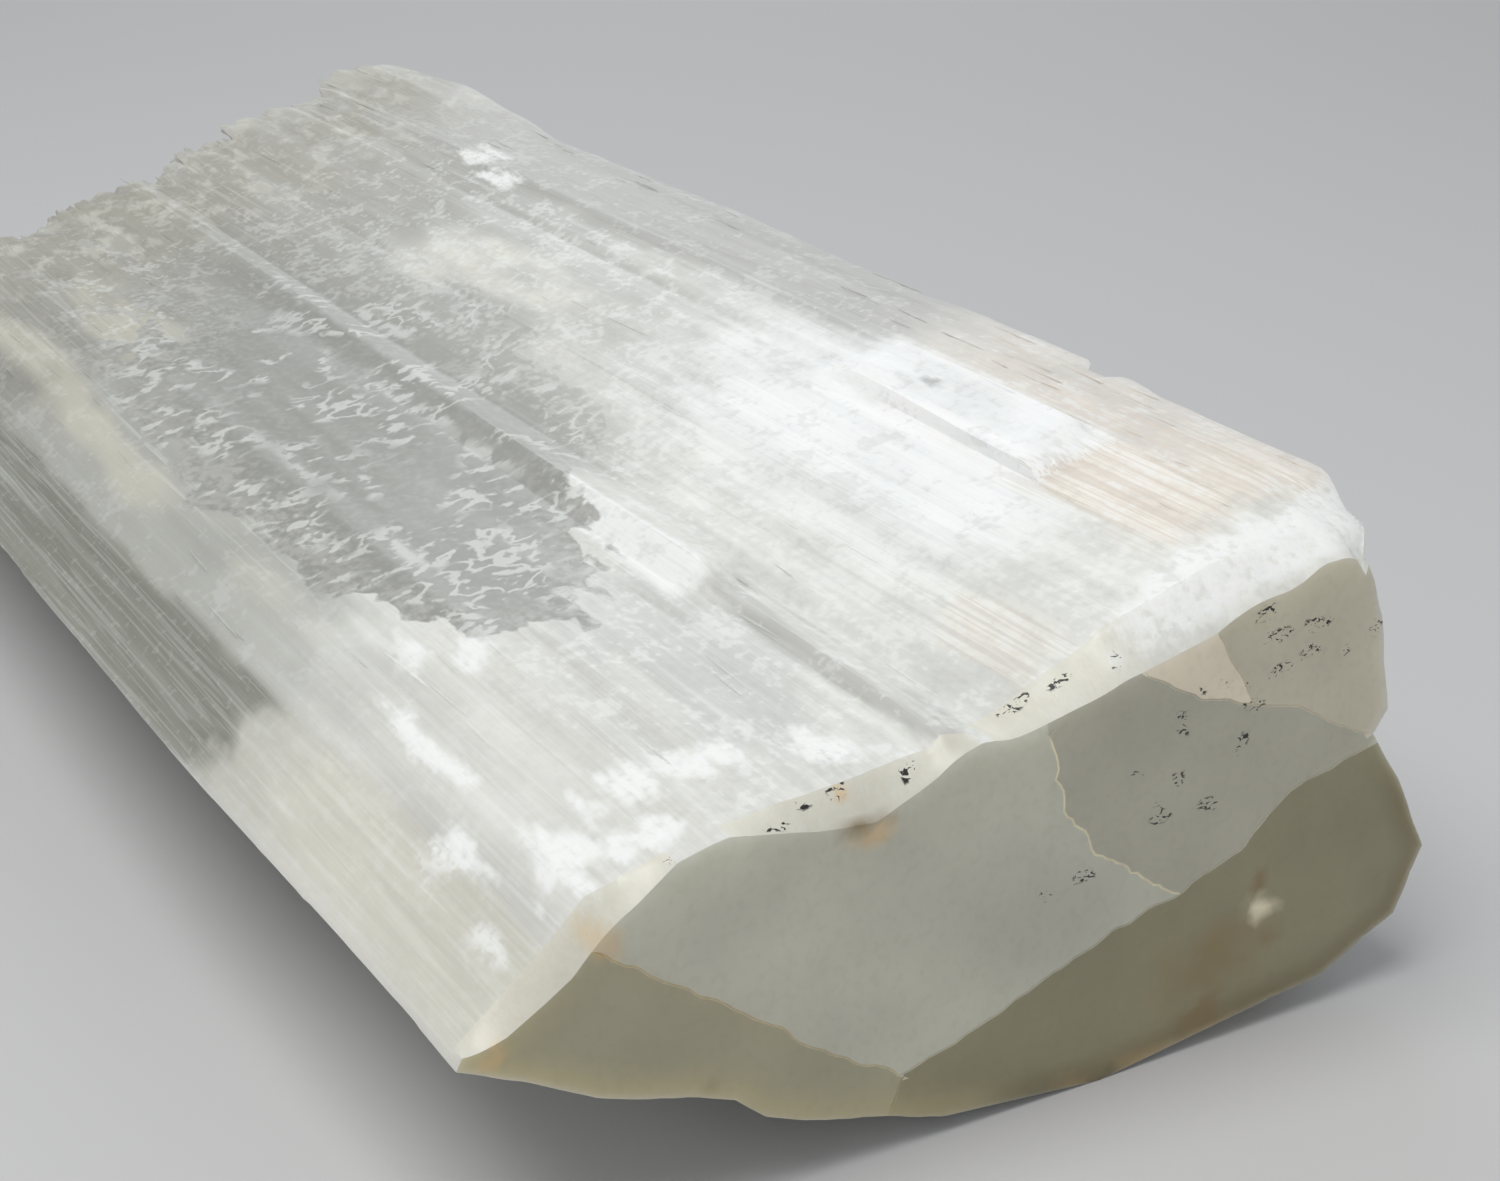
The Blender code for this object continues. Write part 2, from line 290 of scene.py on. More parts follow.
# %% Corner lines, lumps and ribs
DRIFT, DRIFT_LENGTH, DRIFT_START = 0.35, 60.0, 14.0
LUMP, LUMP_SIZE = 0.5, (20.0, 60.0)
RIB, RIB_SIZE = 0.22, (3.4, 110.0)
WINDOW_EDGE, WINDOW_RIB_LOSS = (-3.0, 2.0), 0.8
RAGGED, RAGGED_LENGTH = ((0.30, 4.5), (0.16, 1.5)), 30.0


def corner_place(index, y):
    """Where a corner of the outline lies at distances y from the sawn end."""
    name, x, z = OUTLINE[index]
    course = along(COURSES.get(name, ((0, 0.0, 0.0),)), y)
    settle = DRIFT * smooth(0.0, DRIFT_START, y)
    x = x + course[..., 0] + settle * wave(index, y / DRIFT_LENGTH, 0.0)
    z = z + course[..., 1]
    if not BASE_RIGHT <= index <= BASE_LEFT:
        z = z + settle * wave(index + 40, y / DRIFT_LENGTH, 0.0)
    return x, z


def section(y):
    """The x and z of all ring points, for a table of their distances from the sawn end."""
    x, z = np.zeros_like(y), np.zeros_like(y)
    for index in range(len(OUTLINE)):
        here = corner_of == index
        first = corner_place(index, y[:, here])
        second = corner_place((index + 1) % len(OUTLINE), y[:, here])
        x[:, here], z[:, here] = (a + (b - a) * share_of[here] for a, b in zip(first, second))
    top_x, top_y = x[:, on_top], y[:, on_top]
    z[:, on_top] += LUMP * wave(11, top_x / LUMP_SIZE[0], top_y / LUMP_SIZE[1])
    ribs = RIB * (1.0 - WINDOW_RIB_LOSS * smooth(*WINDOW_EDGE, window_depth(top_x, top_y)))
    z[:, on_top] += ribs * wave(12, top_x / RIB_SIZE[0], top_y / RIB_SIZE[1])
    z[:, on_top] = planed(top_x, top_y, z[:, on_top]) - flat_drop(top_x, top_y) - crumble_drop(top_x, top_y)
    side_ribs = wave(13, z[:, beside] / RIB_SIZE[0], y[:, beside] / RIB_SIZE[1])
    x[:, beside] += np.sign(x[:, beside]) * RIB * side_ribs
    for height, width in RAGGED:
        around = (x[:, beside] + z[:, beside]) / width
        uneven = height * wave(15 + width, around, y[:, beside] / RAGGED_LENGTH)
        z[:, beside] += uneven
        x[:, beside] -= 0.5 * np.sign(x[:, beside]) * np.abs(uneven)
    return x, z


on_base = (corner_of >= BASE_RIGHT) & ((corner_of < BASE_LEFT) | ((corner_of == BASE_LEFT) & (share_of == 0)))
place_on_ring = corner_of + share_of
on_top = (place_on_ring > 0) & (place_on_ring <= RIGHT_SHOULDER)
beside = ~on_top & ~on_base
print("points of a ring:", on_top.sum(), "on top,", beside.sum(), "beside and under,", on_base.sum(), "on the base")

# %% [markdown]
# ## The ragged end
# The far end broke across the blades, so bundles of fibres end at different lengths. Each bundle is a cell with a
# length of its own, and finer cells inside it are single splinters. The rings bend more and more towards that line,
# and near it the block is crumbled and slightly thinner.

# %% Lengths of the bundles
BREAK_LINE = ((-46.0, 193.0), (-22.0, 203.0), (-6.0, 213.0), (24.0, 213.5), (45.0, 215.5))
BREAK_UNDERCUT = 7.0
BLOCK_SIZE, BLOCK_JAG = (8.0, 9.0), 4.5
SPLINTER_SIZE, SPLINTER_JAG = (2.6, 4.0), 2.6
FIBRE_SIZE, FIBRE_JAG = 0.9, 1.3
END_CRUMBLE, END_SHRINK, END_LUMP = 8.0, 0.04, 4.0


def end_length(x, z):
    """The length of the block at places of its section."""
    length = along(BREAK_LINE, x)[..., 0] - BREAK_UNDERCUT * (1.0 - z / TOP_HEIGHT)
    length += BLOCK_JAG * (cells(2, x / BLOCK_SIZE[0] + 0.3, z / BLOCK_SIZE[1]) - 0.5)
    length += SPLINTER_JAG * (cells(9, x / SPLINTER_SIZE[0], z / SPLINTER_SIZE[1] + 0.4) - 0.5)
    return length + FIBRE_JAG * (cells(17, x / FIBRE_SIZE, z / FIBRE_SIZE) - 0.5)


ends = end_length(*section(np.full((1, len(corner_of)), MEAN_LENGTH)))
Y = places[:, None] + (places[:, None] / MEAN_LENGTH) ** 2 * (ends - MEAN_LENGTH)
X, Z = section(Y)
tail = np.clip(1.0 - (ends - Y) / END_CRUMBLE, 0.0, 1.0) ** 2
inward = END_SHRINK * tail * (0.5 + 0.6 * wave(14, X / END_LUMP, Z / END_LUMP))
X -= np.where(on_base, 0.0, X * inward)
Z -= np.where(on_base, 0.0, (Z - MIDDLE_HEIGHT) * inward)
print("x from %.1f to %.1f, z from %.1f to %.1f mm" % (X.min(), X.max(), Z.min(), Z.max()))
print("the break lies %.1f to %.1f mm from the sawn end" % (ends.min(), ends.max()))

# %% [markdown]
# ## Relief of the blades
# Selenite splits along its blades into thin plates, so its surface is made of long, flat treads with small steps
# between them. Rounding a slow noise to whole steps gives such treads. A second layer of long cells gives single
# slivers that start and stop, and two fine noises give the silky ribs between them. The noise is stretched along Y,
# because nothing on the real block changes fast in that direction. The clear window in the top is smoother.

# %% Treads, slivers and ribs
TREAD_HEIGHT, TREADS, TREAD_EDGE = 0.09, 2.6, 0.86
WIDE_TREAD, NARROW_TREAD, NARROW_SHARE = (11.0, 160.0), (3.6, 70.0), 0.45
WARP, WARP_SIZE = 0.8, (2.5, 9.0)
SLIVER_HEIGHT, SLIVER_SIZE = 0.05, (1.7, 19.0)
RIBS = ((0.035, 1.9, 90.0), (0.025, 0.8, 45.0))
RELIEF_START = (1.5, 6.0)
WINDOW_RELIEF = 0.15
MEASURED_RING = 20


def ring_distance():
    """How far round the ring each point lies, in mm."""
    x, z = X[MEASURED_RING], Z[MEASURED_RING]
    steps = np.hypot(np.diff(x, append=x[0]), np.diff(z, append=z[0]))
    return np.concatenate([[0.0], np.cumsum(steps)[:-1]])


def relief(s, y):
    """Height of the fine relief at a distance round the ring and along the block."""
    warped = s + WARP * wave(31, s / WARP_SIZE[0], y / WARP_SIZE[1])
    wide = wave(32, warped / WIDE_TREAD[0], y / WIDE_TREAD[1])
    slope = TREADS * (wide + NARROW_SHARE * wave(33, warped / NARROW_TREAD[0], y / NARROW_TREAD[1]))
    tread = np.floor(slope)
    tread += smooth(TREAD_EDGE, 1.0, slope - tread)
    height = TREAD_HEIGHT * tread
    place = warped / SLIVER_SIZE[0]
    height += SLIVER_HEIGHT * cells(5, place, y / SLIVER_SIZE[1] + 3.0 * cells(8, place, 0.0))
    for depth, width, length in RIBS:
        height += depth * wave(34 + width, s / width, y / length)
    return height


distance = ring_distance()
raised = relief(distance[None, :], Y)
raised = (raised - raised[:, on_top].mean()) * smooth(*RELIEF_START, Y)
raised *= 1.0 - (1.0 - WINDOW_RELIEF) * smooth(-2.0, 2.0, window_depth(X, Y)) * on_top
run_x = np.roll(X, -1, axis=1) - np.roll(X, 1, axis=1)
run_z = np.roll(Z, -1, axis=1) - np.roll(Z, 1, axis=1)
run = np.hypot(run_x, run_z)
X -= np.where(on_base, 0.0, raised * run_z / run)
Z += np.where(on_base, 0.0, raised * run_x / run)
print("relief from %.2f to %.2f mm" % (raised.min(), raised.max()))

# %% [markdown]
# ## Cracks in the sawn end
# The sawn end is flat, but the crystals in it meet along fine cracks. A crack drawn straight between its corners
# would look ruled, so each one sways about them. It becomes a thin groove: three lines side by side, of which the
# middle one is sunk.

# %% Lines of the cracks
CRACKS = (
    ((3.4, 31.2), (5.0, 28.4), (5.6, 25.0), (9.1, 20.8), (14.1, 16.8), (17.6, 14.6)),
    ((12.6, 34.3), (17.8, 31.2), (28.0, 28.4), (32.4, 25.7), (35.3, 24.4)),
    ((-8.3, 6.5), (-3.2, 7.9), (3.2, 10.4), (9.6, 12.9), (17.2, 14.9), (23.0, 17.1), (27.7, 21.2), (35.6, 22.9)),
    ((-33.0, 23.9), (-26.1, 19.2), (-20.5, 15.0), (-14.7, 10.3), (-11.2, 8.2), (-7.8, 6.2)),
    ((-8.1, 6.6), (-8.7, 5.0), (-9.2, 3.8)),
    ((19.5, 35.9), (21.0, 33.4), (23.4, 29.4)),
)
CRACK_WIDTH, CRACK_DEPTH, CRACK_STEP = 0.09, 0.12, 0.6
CRACK_SWAYS = (0.8, 0.3, 0.35, 0.35, 0.2, 0.3)
BENDS, FINE_BENDS, FINE_SHARE = 0.45, 1.3, 0.3


def crack_line(number, corners):
    """Places along one crack, close together and swaying about its given corners."""
    placed = []
    for (ax, az), (bx, bz) in zip(corners, corners[1:]):
        length = math.hypot(bx - ax, bz - az)
        for share in np.arange(0.0, 1.0, CRACK_STEP / length):
            spot = Vector((ax + share * (bx - ax), az + share * (bz - az), number * 3.7))
            sway = CRACK_SWAYS[number] * (noise.noise(BENDS * spot) + FINE_SHARE * noise.noise(FINE_BENDS * spot))
            placed.append((ax + share * (bx - ax) + sway * (az - bz) / length,
                           az + share * (bz - az) + sway * (bx - ax) / length))
    return np.array(placed)


print([len(crack_line(number, corners)) for number, corners in enumerate(CRACKS)], "places on the cracks")

# %% [markdown]
# ## Filling the two ends
# Both ends are filled with triangles between the ring and a jittered grid, so that splinters of the break have faces
# of their own. One large face would be simpler, but it can't be sunk along the cracks or at the pit. Blender's
# Delaunay tool keeps the cracks as edges.

# %% Triangles of the ends
PIT, PIT_RADIUS, PIT_DEPTH = (25.8, 11.4), 1.3, 0.4
SAWN_GRID, BREAK_GRID = 1.0, 1.15
SAW_WAVE, SAW_WAVE_SIZE = 0.02, 6.0
JITTER, CLEARANCE, FAR_AWAY, SAME_PLACE = 0.45, 0.45, 99.0, 1e-7


def inside_points(ring_x, ring_z, spacing, avoided):
    """Places on a jittered grid inside a ring, away from it and from the avoided places."""
    grid_x, grid_z = np.meshgrid(np.arange(ring_x.min(), ring_x.max(), spacing),
                                 np.arange(ring_z.min(), ring_z.max(), spacing))
    grid_x = grid_x + JITTER * spacing * wave(21, grid_x * 1.7, grid_z * 2.3)
    grid_z = grid_z + JITTER * spacing * wave(22, grid_x * 2.9, grid_z * 1.3)
    crossings = np.zeros(grid_x.shape, int)
    nearest = np.full(grid_x.shape, FAR_AWAY)
    for ax, az, bx, bz in zip(ring_x, ring_z, np.roll(ring_x, -1), np.roll(ring_z, -1)):
        if az != bz:
            cut = ax + (grid_z - az) * (bx - ax) / (bz - az)
            crossings += ((az > grid_z) != (bz > grid_z)) & (grid_x < cut)
        nearest = np.minimum(nearest, np.hypot(grid_x - ax, grid_z - az))
    for ax, az in avoided:
        nearest = np.minimum(nearest, np.hypot(grid_x - ax, grid_z - az))
    kept = (crossings % 2 == 1) & (nearest > CLEARANCE * spacing)
    return grid_x[kept], grid_z[kept]


def filled(ring_x, ring_z, added, lines):
    """Triangles between a ring, more places inside it and lines through those, and where lines cross."""
    plan = [Vector(place) for place in zip(ring_x, ring_z)] + [Vector(place) for place in added]
    edges = [(k, (k + 1) % len(ring_x)) for k in range(len(ring_x))]
    for first, count in lines:
        edges += [(first + k, first + k + 1) for k in range(count - 1)]
    places, _, faces, sources, _, _ = geometry.delaunay_2d_cdt(plan, edges, [], 1, SAME_PLACE)
    crossings = [k for k, source in enumerate(sources) if not source]
    number = {k: source[0] for k, source in enumerate(sources) if source}
    number.update({k: len(plan) + place for place, k in enumerate(crossings)})
    return [[number[v] for v in face] for face in faces], [tuple(places[k]) for k in crossings]


def sawn_end():
    """The extra points of the sawn end, their depths, the crack each lies in or -1, and the face's triangles."""
    added, depths, lines, cracks = [], [], [], []
    for number, corners in enumerate(CRACKS):
        middle = crack_line(number, corners)
        run = np.gradient(middle, axis=0)
        side = np.stack([-run[:, 1], run[:, 0]], axis=1) / np.hypot(*run.T)[:, None] * CRACK_WIDTH
        for offset, depth in ((0.0, CRACK_DEPTH), (1.0, 0.0), (-1.0, 0.0)):
            lines.append((len(corner_of) + len(added), len(middle)))
            added += (middle + offset * side).tolist()
            depths += [depth] * len(middle)
            cracks += [-1] + [number if depth else -1] * (len(middle) - 1)
    grid_x, grid_z = inside_points(X[0], Z[0], SAWN_GRID, added)
    pit = np.clip(1.0 - np.hypot(grid_x - PIT[0], grid_z - PIT[1]) / PIT_RADIUS, 0.0, 1.0)
    uneven = 1.0 + wave(41, grid_x / SAW_WAVE_SIZE, grid_z / SAW_WAVE_SIZE)
    depths += (PIT_DEPTH * pit + SAW_WAVE * uneven).tolist()
    added += list(zip(grid_x, grid_z))
    faces, crossings = filled(X[0], Z[0], added, lines)
    cracks += [-1] * (len(added) + len(crossings) - len(cracks))
    return np.array(added + crossings), np.array(depths + [0.0] * len(crossings)), np.array(cracks), faces


sawn_places, sawn_depths, sawn_cracks, sawn_faces = sawn_end()
break_x, break_z = inside_points(X[-1], Z[-1], BREAK_GRID, [])
break_faces, _ = filled(X[-1], Z[-1], list(zip(break_x, break_z)), [])
print(len(sawn_faces), "triangles on the sawn end,", len(break_faces), "on the break")

# %% [markdown]
# ## One closed mesh
# The sides are quads between neighbouring rings, closed by the two ends. Everything is clipped to the solid's box,
# because the part's size isn't changed here. The edge of the sawn face stays sharp, as a saw leaves it.

# %% The mesh
CENTRE_X = -1.143
STEEPEST_SMOOTH = 38.0


def side_faces():
    """The quads between the rings."""
    around = len(corner_of)
    rows = np.arange(len(places) - 1)[:, None] * around
    here, after = np.arange(around)[None, :], (np.arange(around)[None, :] + 1) % around
    return np.stack([rows + here, rows + after, rows + after + around, rows + here + around], axis=2).reshape(-1, 4)


def to_part(x, y, z):
    """Places in the part's own metres, for places in the outline's millimetres."""
    middle = (cad_box[0][0] + cad_box[1][0]) / 2
    made = np.stack([middle + (x - CENTRE_X) * MM, cad_box[0][1] + y * MM, cad_box[0][2] + z * MM], axis=-1)
    return np.clip(made, cad_box[0], cad_box[1])


def block_mesh():
    """The whole fine surface, closed."""
    around, count = len(corner_of), len(corner_of) * len(places)
    break_first = count + len(sawn_places)
    points = np.concatenate([
        to_part(X, Y, Z).reshape(-1, 3),
        to_part(sawn_places[:, 0], sawn_depths, sawn_places[:, 1]),
        to_part(break_x, end_length(break_x, break_z), break_z),
    ])
    faces = side_faces().tolist()
    faces += [[v if v < around else count + v - around for v in face] for face in sawn_faces]
    faces += [[count - around + v if v < around else break_first + v - around for v in face] for face in break_faces]
    mesh = bpy.data.meshes.new("selenite_block")
    mesh.from_pydata(points.tolist(), [], faces)
    made = bmesh.new()
    made.from_mesh(mesh)
    bmesh.ops.recalc_face_normals(made, faces=made.faces)
    made.to_mesh(mesh)
    open_edges = sum(not edge.is_manifold for edge in made.edges)
    made.free()
    print("open edges:", open_edges)
    return mesh


def sharpen(mesh):
    """Smooth shading, with sharp edges at steep folds and all round the sawn face."""
    mesh.shade_smooth()
    mesh.set_sharp_from_angle(angle=math.radians(STEEPEST_SMOOTH))
    around = len(corner_of)
    sharp = mesh.attributes["sharp_edge"].data
    for edge in mesh.edges:
        if max(edge.vertices) < around:
            sharp[edge.index].value = True


mesh = block_mesh()
sharpen(mesh)
block = bpy.data.objects.new("selenite_block", mesh)
bpy.context.scene.collection.objects.link(block)
mesh.calc_loop_triangles()
print("block:", len(mesh.vertices), "points,", len(mesh.loop_triangles), "triangles")

# %% [markdown]
# ## Tones of the stone
# A block like this has no single colour: milky parts, clear grey parts, tan lines and rust lie side by side. The
# broad tones are worked out for every point of the net, mostly as a real piece would get them from the way it grew;
# some of them are painted light and shade, on the steps, near the saw and towards the break. That keeps the material
# itself small. Only what is finer than the net is left to it. A tone is built up in layers: each has a colour, as it
# is seen on a screen, and a share between 0 and 1 for every point.

# %% Tools for tones
TOP_LIGHT, SIDE_LIGHT, FACE_LIGHT = 0.93, 0.80, 0.50
PALEST = 0.97


def seen(red, green, blue, light=TOP_LIGHT):
    """The stone's own colour, for a colour on a screen and the share of light that falls there."""
    parts = np.array([red, green, blue]) / 255.0
    linear = np.where(parts <= 0.04045, parts / 12.92, ((parts + 0.055) / 1.055) ** 2.4)
    return np.minimum(linear / light, PALEST)


def cloud(seed, width, length, detail=1):
    """Noise about 0 over all points, of lumps with a width and a length, each detail half as large."""
    total = np.zeros(len(x))
    for octave in range(detail):
        share = 0.5 ** octave
        total += share * wave(seed + octave * 0.37, across / (width * share), y / (length * share))
    return total


def band(value, middle, half, soft):
    """1 within half of the middle, and 0 from soft further out."""
    return 1.0 - smooth(half, half + soft, np.abs(value - middle))


def oval(place_x, place_y, half_width, half_length, ragged=0.0, soft=0.35, other=None):
    """A soft-edged oval with a ragged edge, by x and y or by x and another place."""
    away = np.hypot((x - place_x) / half_width, ((y if other is None else other) - place_y) / half_length)
    return 1.0 - smooth(1.0 - soft, 1.0 + 0.1 * soft, away + ragged)


def spots(rows, ragged, soft, other=None):
    """Many ovals at once, each row with its middle and its half sizes."""
    return np.max([oval(*row, ragged, soft, other) for row in rows], axis=0)


def paint(tone, colour, share):
    """Tones changed towards a colour by a share for each point."""
    return tone + (colour - tone) * np.clip(share, 0.0, 1.0)[:, None]


def layered(tone, *layers, light=TOP_LIGHT):
    """Tones with layers painted on in turn."""
    for colour, share in layers:
        tone = paint(tone, seen(*colour, light), share)
    return tone


co = np.empty(len(mesh.vertices) * 3)
mesh.vertices.foreach_get("co", co)
x, y, z = co[0::3] / MM + CENTRE_X, (co[1::3] - cad_box[0][1]) / MM, (co[2::3] - cad_box[0][2]) / MM
across = x + 0.8 * z
top = smooth(20.0, 24.0, z)
clouds = cloud(seed=51, width=9.0, length=20.0, detail=3)
flecks = cloud(seed=52, width=2.2, length=3.4, detail=3)
blades = cloud(seed=53, width=5.0, length=120.0, detail=2)
fibres = cloud(seed=54, width=1.5, length=60.0, detail=2)
shreds = cloud(seed=55, width=1.6, length=9.0, detail=2)
rag = 5.0 * clouds + 2.5 * flecks
print("clouds from %.2f to %.2f, fibres from %.2f to %.2f" % (clouds.min(), clouds.max(), fibres.min(), fibres.max()))

# %% [markdown]
# ## Milk
# The milky parts hold countless thin gaps that scatter the light. Clouds and long streaks of white and grey make
# them up. The white right half near the saw carries a painted bluish sheen, and the far half is painted greyer than
# the near one: partly the stone's own grey, partly painted shade where less light reaches the far end.

# %% Milky tones
BRIGHT, DULL_GREY, PALE_GREY = seen(240, 242, 241), seen(184, 184, 180), seen(205, 206, 203)
CLOUD_DEPTH, BLADE_DEPTH, FIBRE_DEPTH = 0.14, 0.06, 0.07

near_right_white_and_sheen = smooth(2.0, 14.0, x) * smooth(13.0, 27.0, y) * smooth(100.0, 60.0, y + rag)
far_half_grey_and_shade = smooth(50.0, 125.0, y + rag)
pale_streak = oval(12.5, 120.0, 6.0, 34.0, 0.8 * clouds, 0.9)
round_window = smooth(9.0, -1.0, x + 3.0 * clouds) * smooth(48.0, 82.0, y + rag)
behind_window = smooth(8.0, -4.0, x + 3.0 * clouds) * smooth(112.0, 150.0, y + rag)
last_third_grey_and_shade = smooth(125.0, 160.0, y + rag)
near_left = smooth(-4.0, -20.0, x) * smooth(50.0, 36.0, y)
grey_front = oval(-12.5, 22.0, 9.0, 27.0, 0.9 * clouds + 0.3 * shreds, 0.8)
tone = layered(
    np.repeat(seen(220, 221, 216)[None, :], len(x), axis=0),
    # the white right half near the saw: the stone's cottony white with a painted bluish sheen on it
    ((237, 240, 240), 0.93 * near_right_white_and_sheen),
    # the far half: partly the stone's own grey, partly painted shade towards the break
    ((190, 191, 187), far_half_grey_and_shade),
    ((220, 220, 212), 0.9 * pale_streak),
    ((164, 165, 159), 0.95 * round_window),
    ((140, 140, 131), 0.75 * behind_window),
    # the last third: greyer still, partly its own grey and partly painted shade
    ((158, 157, 149), 0.5 * last_third_grey_and_shade),
    ((209, 209, 203), 0.7 * near_left),
    ((194, 195, 192), 0.9 * grey_front),
)
cloudy = 1.0 - CLOUD_DEPTH * np.clip(clouds, -0.7, 0.7) - BLADE_DEPTH * np.clip(blades + 0.2 * shreds, -0.6, 0.6)
tone = tone * cloudy[:, None]
creased = smooth(-26.0, -30.0, x + 2.0 * shreds) * band(y + rag, 86.0, 28.0, 22.0)
tone = layered(tone, ((172, 173, 167), 0.75 * creased))
tone = tone * (1.0 + FIBRE_DEPTH * np.clip(fibres + 0.4 * shreds, -0.7, 0.7))[:, None]
print("mean milky tone:", tone.mean(axis=0).round(2))

# %% [markdown]
# ## Margins and far end
# Along the right side the blades show as close, fine lines, tan near the sawn end and grey further on. Towards the
# break the stone is dull and slightly yellow, with white crumbs.

# %% Tan, grey and yellow parts
TAN, IVORY = seen(211, 200, 187), seen(211, 209, 192)

edge_tan = smooth(28.5, 31.0, x + 0.6 * shreds) * smooth(80.0, 46.0, y + rag)
front_tan = smooth(18.5, 21.5, x + shreds) * smooth(30.0, 25.0, y + 0.4 * rag)
low_tan = 0.5 * band(x + shreds, 6.3, 2.0, 1.2) * band(y + 0.5 * rag, 10.5, 4.5, 3.0)
lined = np.maximum(np.maximum(edge_tan, front_tan) * smooth(5.0, 12.0, y - 0.6 * rag), low_tan) * top
tone = layered(tone, ((233, 227, 217), 0.85 * lined))
tone = paint(tone, TAN, 0.4 * lined * smooth(-0.1, 0.5, fibres + 0.3 * blades))
right_grey = smooth(25.5, 28.5, x + shreds) * smooth(54.0, 70.0, y + rag) * top
right_warm = smooth(28.5, 31.0, x + shreds) * smooth(14.0, 30.0, y + rag) * top
far = smooth(148.0, 192.0, y + 1.5 * rag)
crumbled = np.maximum(smooth(200.0, 210.0, y + 8.0 * flecks), far * smooth(0.22, 0.45, flecks))
tone = layered(
    tone,
    ((204, 201, 195), 0.8 * right_warm),
    ((162, 162, 159), 0.85 * right_grey),
    ((166, 163, 150), 0.7 * far * smooth(0.4, -0.3, clouds)),
    ((196, 194, 184), 0.5 * far * smooth(0.0, 0.5, clouds)),
    ((203, 203, 193), 0.65 * crumbled),
)
yellow = spots(((-22.4, 141.0, 5.0, 22.0), (-32.5, 130.0, 3.0, 60.0)), 0.9 * clouds, 0.9)
tone = paint(tone, IVORY, 0.5 * yellow * top)
print("fine lines over %.0f %% of the top" % (100 * (lined > 0.5).sum() / (top > 0.5).sum()))

# %% [markdown]
# ## The clear window
# In the middle of the top lies a part without the milky gaps. It looks grey, because light goes into it and doesn't
# come back. Its border is made ragged by noise, and it pales to the right and towards the break. Rows of small white
# beads lie in it along the blades, and short white marks lie in it and to its right.

# %% Clear window
CLEAR, SMOKY = seen(148, 149, 144), seen(166, 167, 163)
BEAD_ROWS = ((1.0, 84.0, 126.0), (-13.0, 42.0, 62.0), (-21.5, 58.0, 100.0), (-6.8, 70.0, 134.0))
ROW_HALF, ROW_SOFT, ROW_SWAY, ROW_FADE = 0.35, 0.6, 0.8, 3.0

inside = window_depth(x, y) * (1.0 - 0.6 * smooth(105.0, 140.0, y)) + 3.0 * clouds + 1.8 * shreds
pale_right, pale_end = smooth(-5.0, 5.0, x + 2.0 * clouds), smooth(128.0, 172.0, y + rag)
clear = top * (1.0 - 0.55 * pale_right) * (1.0 - 0.8 * pale_end)
smoke = smooth(-0.3, 0.5, blades + 0.5 * clouds)
beads = np.zeros(len(x))
for row_x, start, stop in BEAD_ROWS:
    in_row = band(x + ROW_SWAY * wave(58, row_x, y / 9.0), row_x, ROW_HALF, ROW_SOFT)
    beads = np.maximum(beads, in_row * band(y, (start + stop) / 2, (stop - start) / 2, ROW_FADE))
right_of_band = smooth(-31.5, -28.0, x + shreds)
marked = smooth(-3.5, 0.5, inside) * right_of_band * smooth(176.0, 120.0, y + 2.0 * rag) * top
print("the window covers %.0f %% of the top" % (100 * (inside > 0.0).sum() / (top > 0.5).sum()))

# %% [markdown]
# ## The ledge, the groove and the plate
# Three steps run along the top. Their edges are painted white, a painted highlight where the light from the left
# catches the risers, and the hollow and the groove beside them are painted grey, a painted shade. The plate is
# whiter, partly its own white and partly a painted sheen, and a small dent in it has a painted shade.
# They lie where the corner lines of the form lie, so each is a band about a line.

# %% Steps along the top
ledge_highlight = band(x + 0.5 * shreds, -6.1, 1.7, 0.8) * smooth(34.5, 37.5, y) * smooth(92.0, 68.0, y + rag)
hollow_shade = 0.85 * band(x, -3.6, 1.7, 1.0) * smooth(38.0, 34.0, y) * smooth(-0.35, 0.35, fibres + shreds)
groove_shade = band(x, 9.6, 0.35, 0.5) * smooth(50.0, 38.0, y)
rim_highlights = np.maximum(band(x, 20.9, 1.2, 0.8), 0.6 * band(x, 29.0, 0.8, 0.9))
rim_highlights = rim_highlights * smooth(26.0, 28.0, y) * smooth(63.0, 59.0, y)
front_rim_highlight = band(y - 0.4 * x, 18.6, 0.9, 1.4) * band(x, 25.2, 4.6, 0.6)
plate_white_and_sheen = band(x, 25.2, 3.8, 0.8) * band(y, 43.5, 16.0, 2.5)
dent_shade = oval(25.1, 47.8, 0.8, 1.6)
# painted highlight: the ledge's riser painted white where the light from the left catches it
tone = paint(tone, BRIGHT, 0.9 * ledge_highlight * top)
# painted shade: grey in the hollow beside the ledge, and faintly in the groove
tone = paint(tone, DULL_GREY, np.maximum(hollow_shade, 0.1 * groove_shade) * top)
tone = layered(
    tone,
    # the plate: partly its own white, partly a painted bluish sheen
    ((238, 241, 243), 0.75 * plate_white_and_sheen * smooth(0.5, -0.2, clouds + 0.5 * flecks)),
    # painted highlights: the plate's side and front rims painted white
    ((243, 246, 248), np.maximum(rim_highlights, front_rim_highlight) * smooth(0.6, 0.0, flecks) * top),
    # painted shade: a grey spot in a small dent of the plate
    ((150, 152, 150), 0.7 * dent_shade),
)
print("white steps over %.0f %% of the top" % (100 * (np.maximum(ledge_highlight, plate_white_and_sheen) > 0.5).sum() / (top > 0.5).sum()))

# %% [markdown]
# ## Bruises
# Where the stone was knocked, mostly near the sawn end, the fibres are crushed to fluffy white spots. Each is an
# oval with a ragged edge. The right corner is crushed to powder, and beside the bruises lies bare, silky stone.

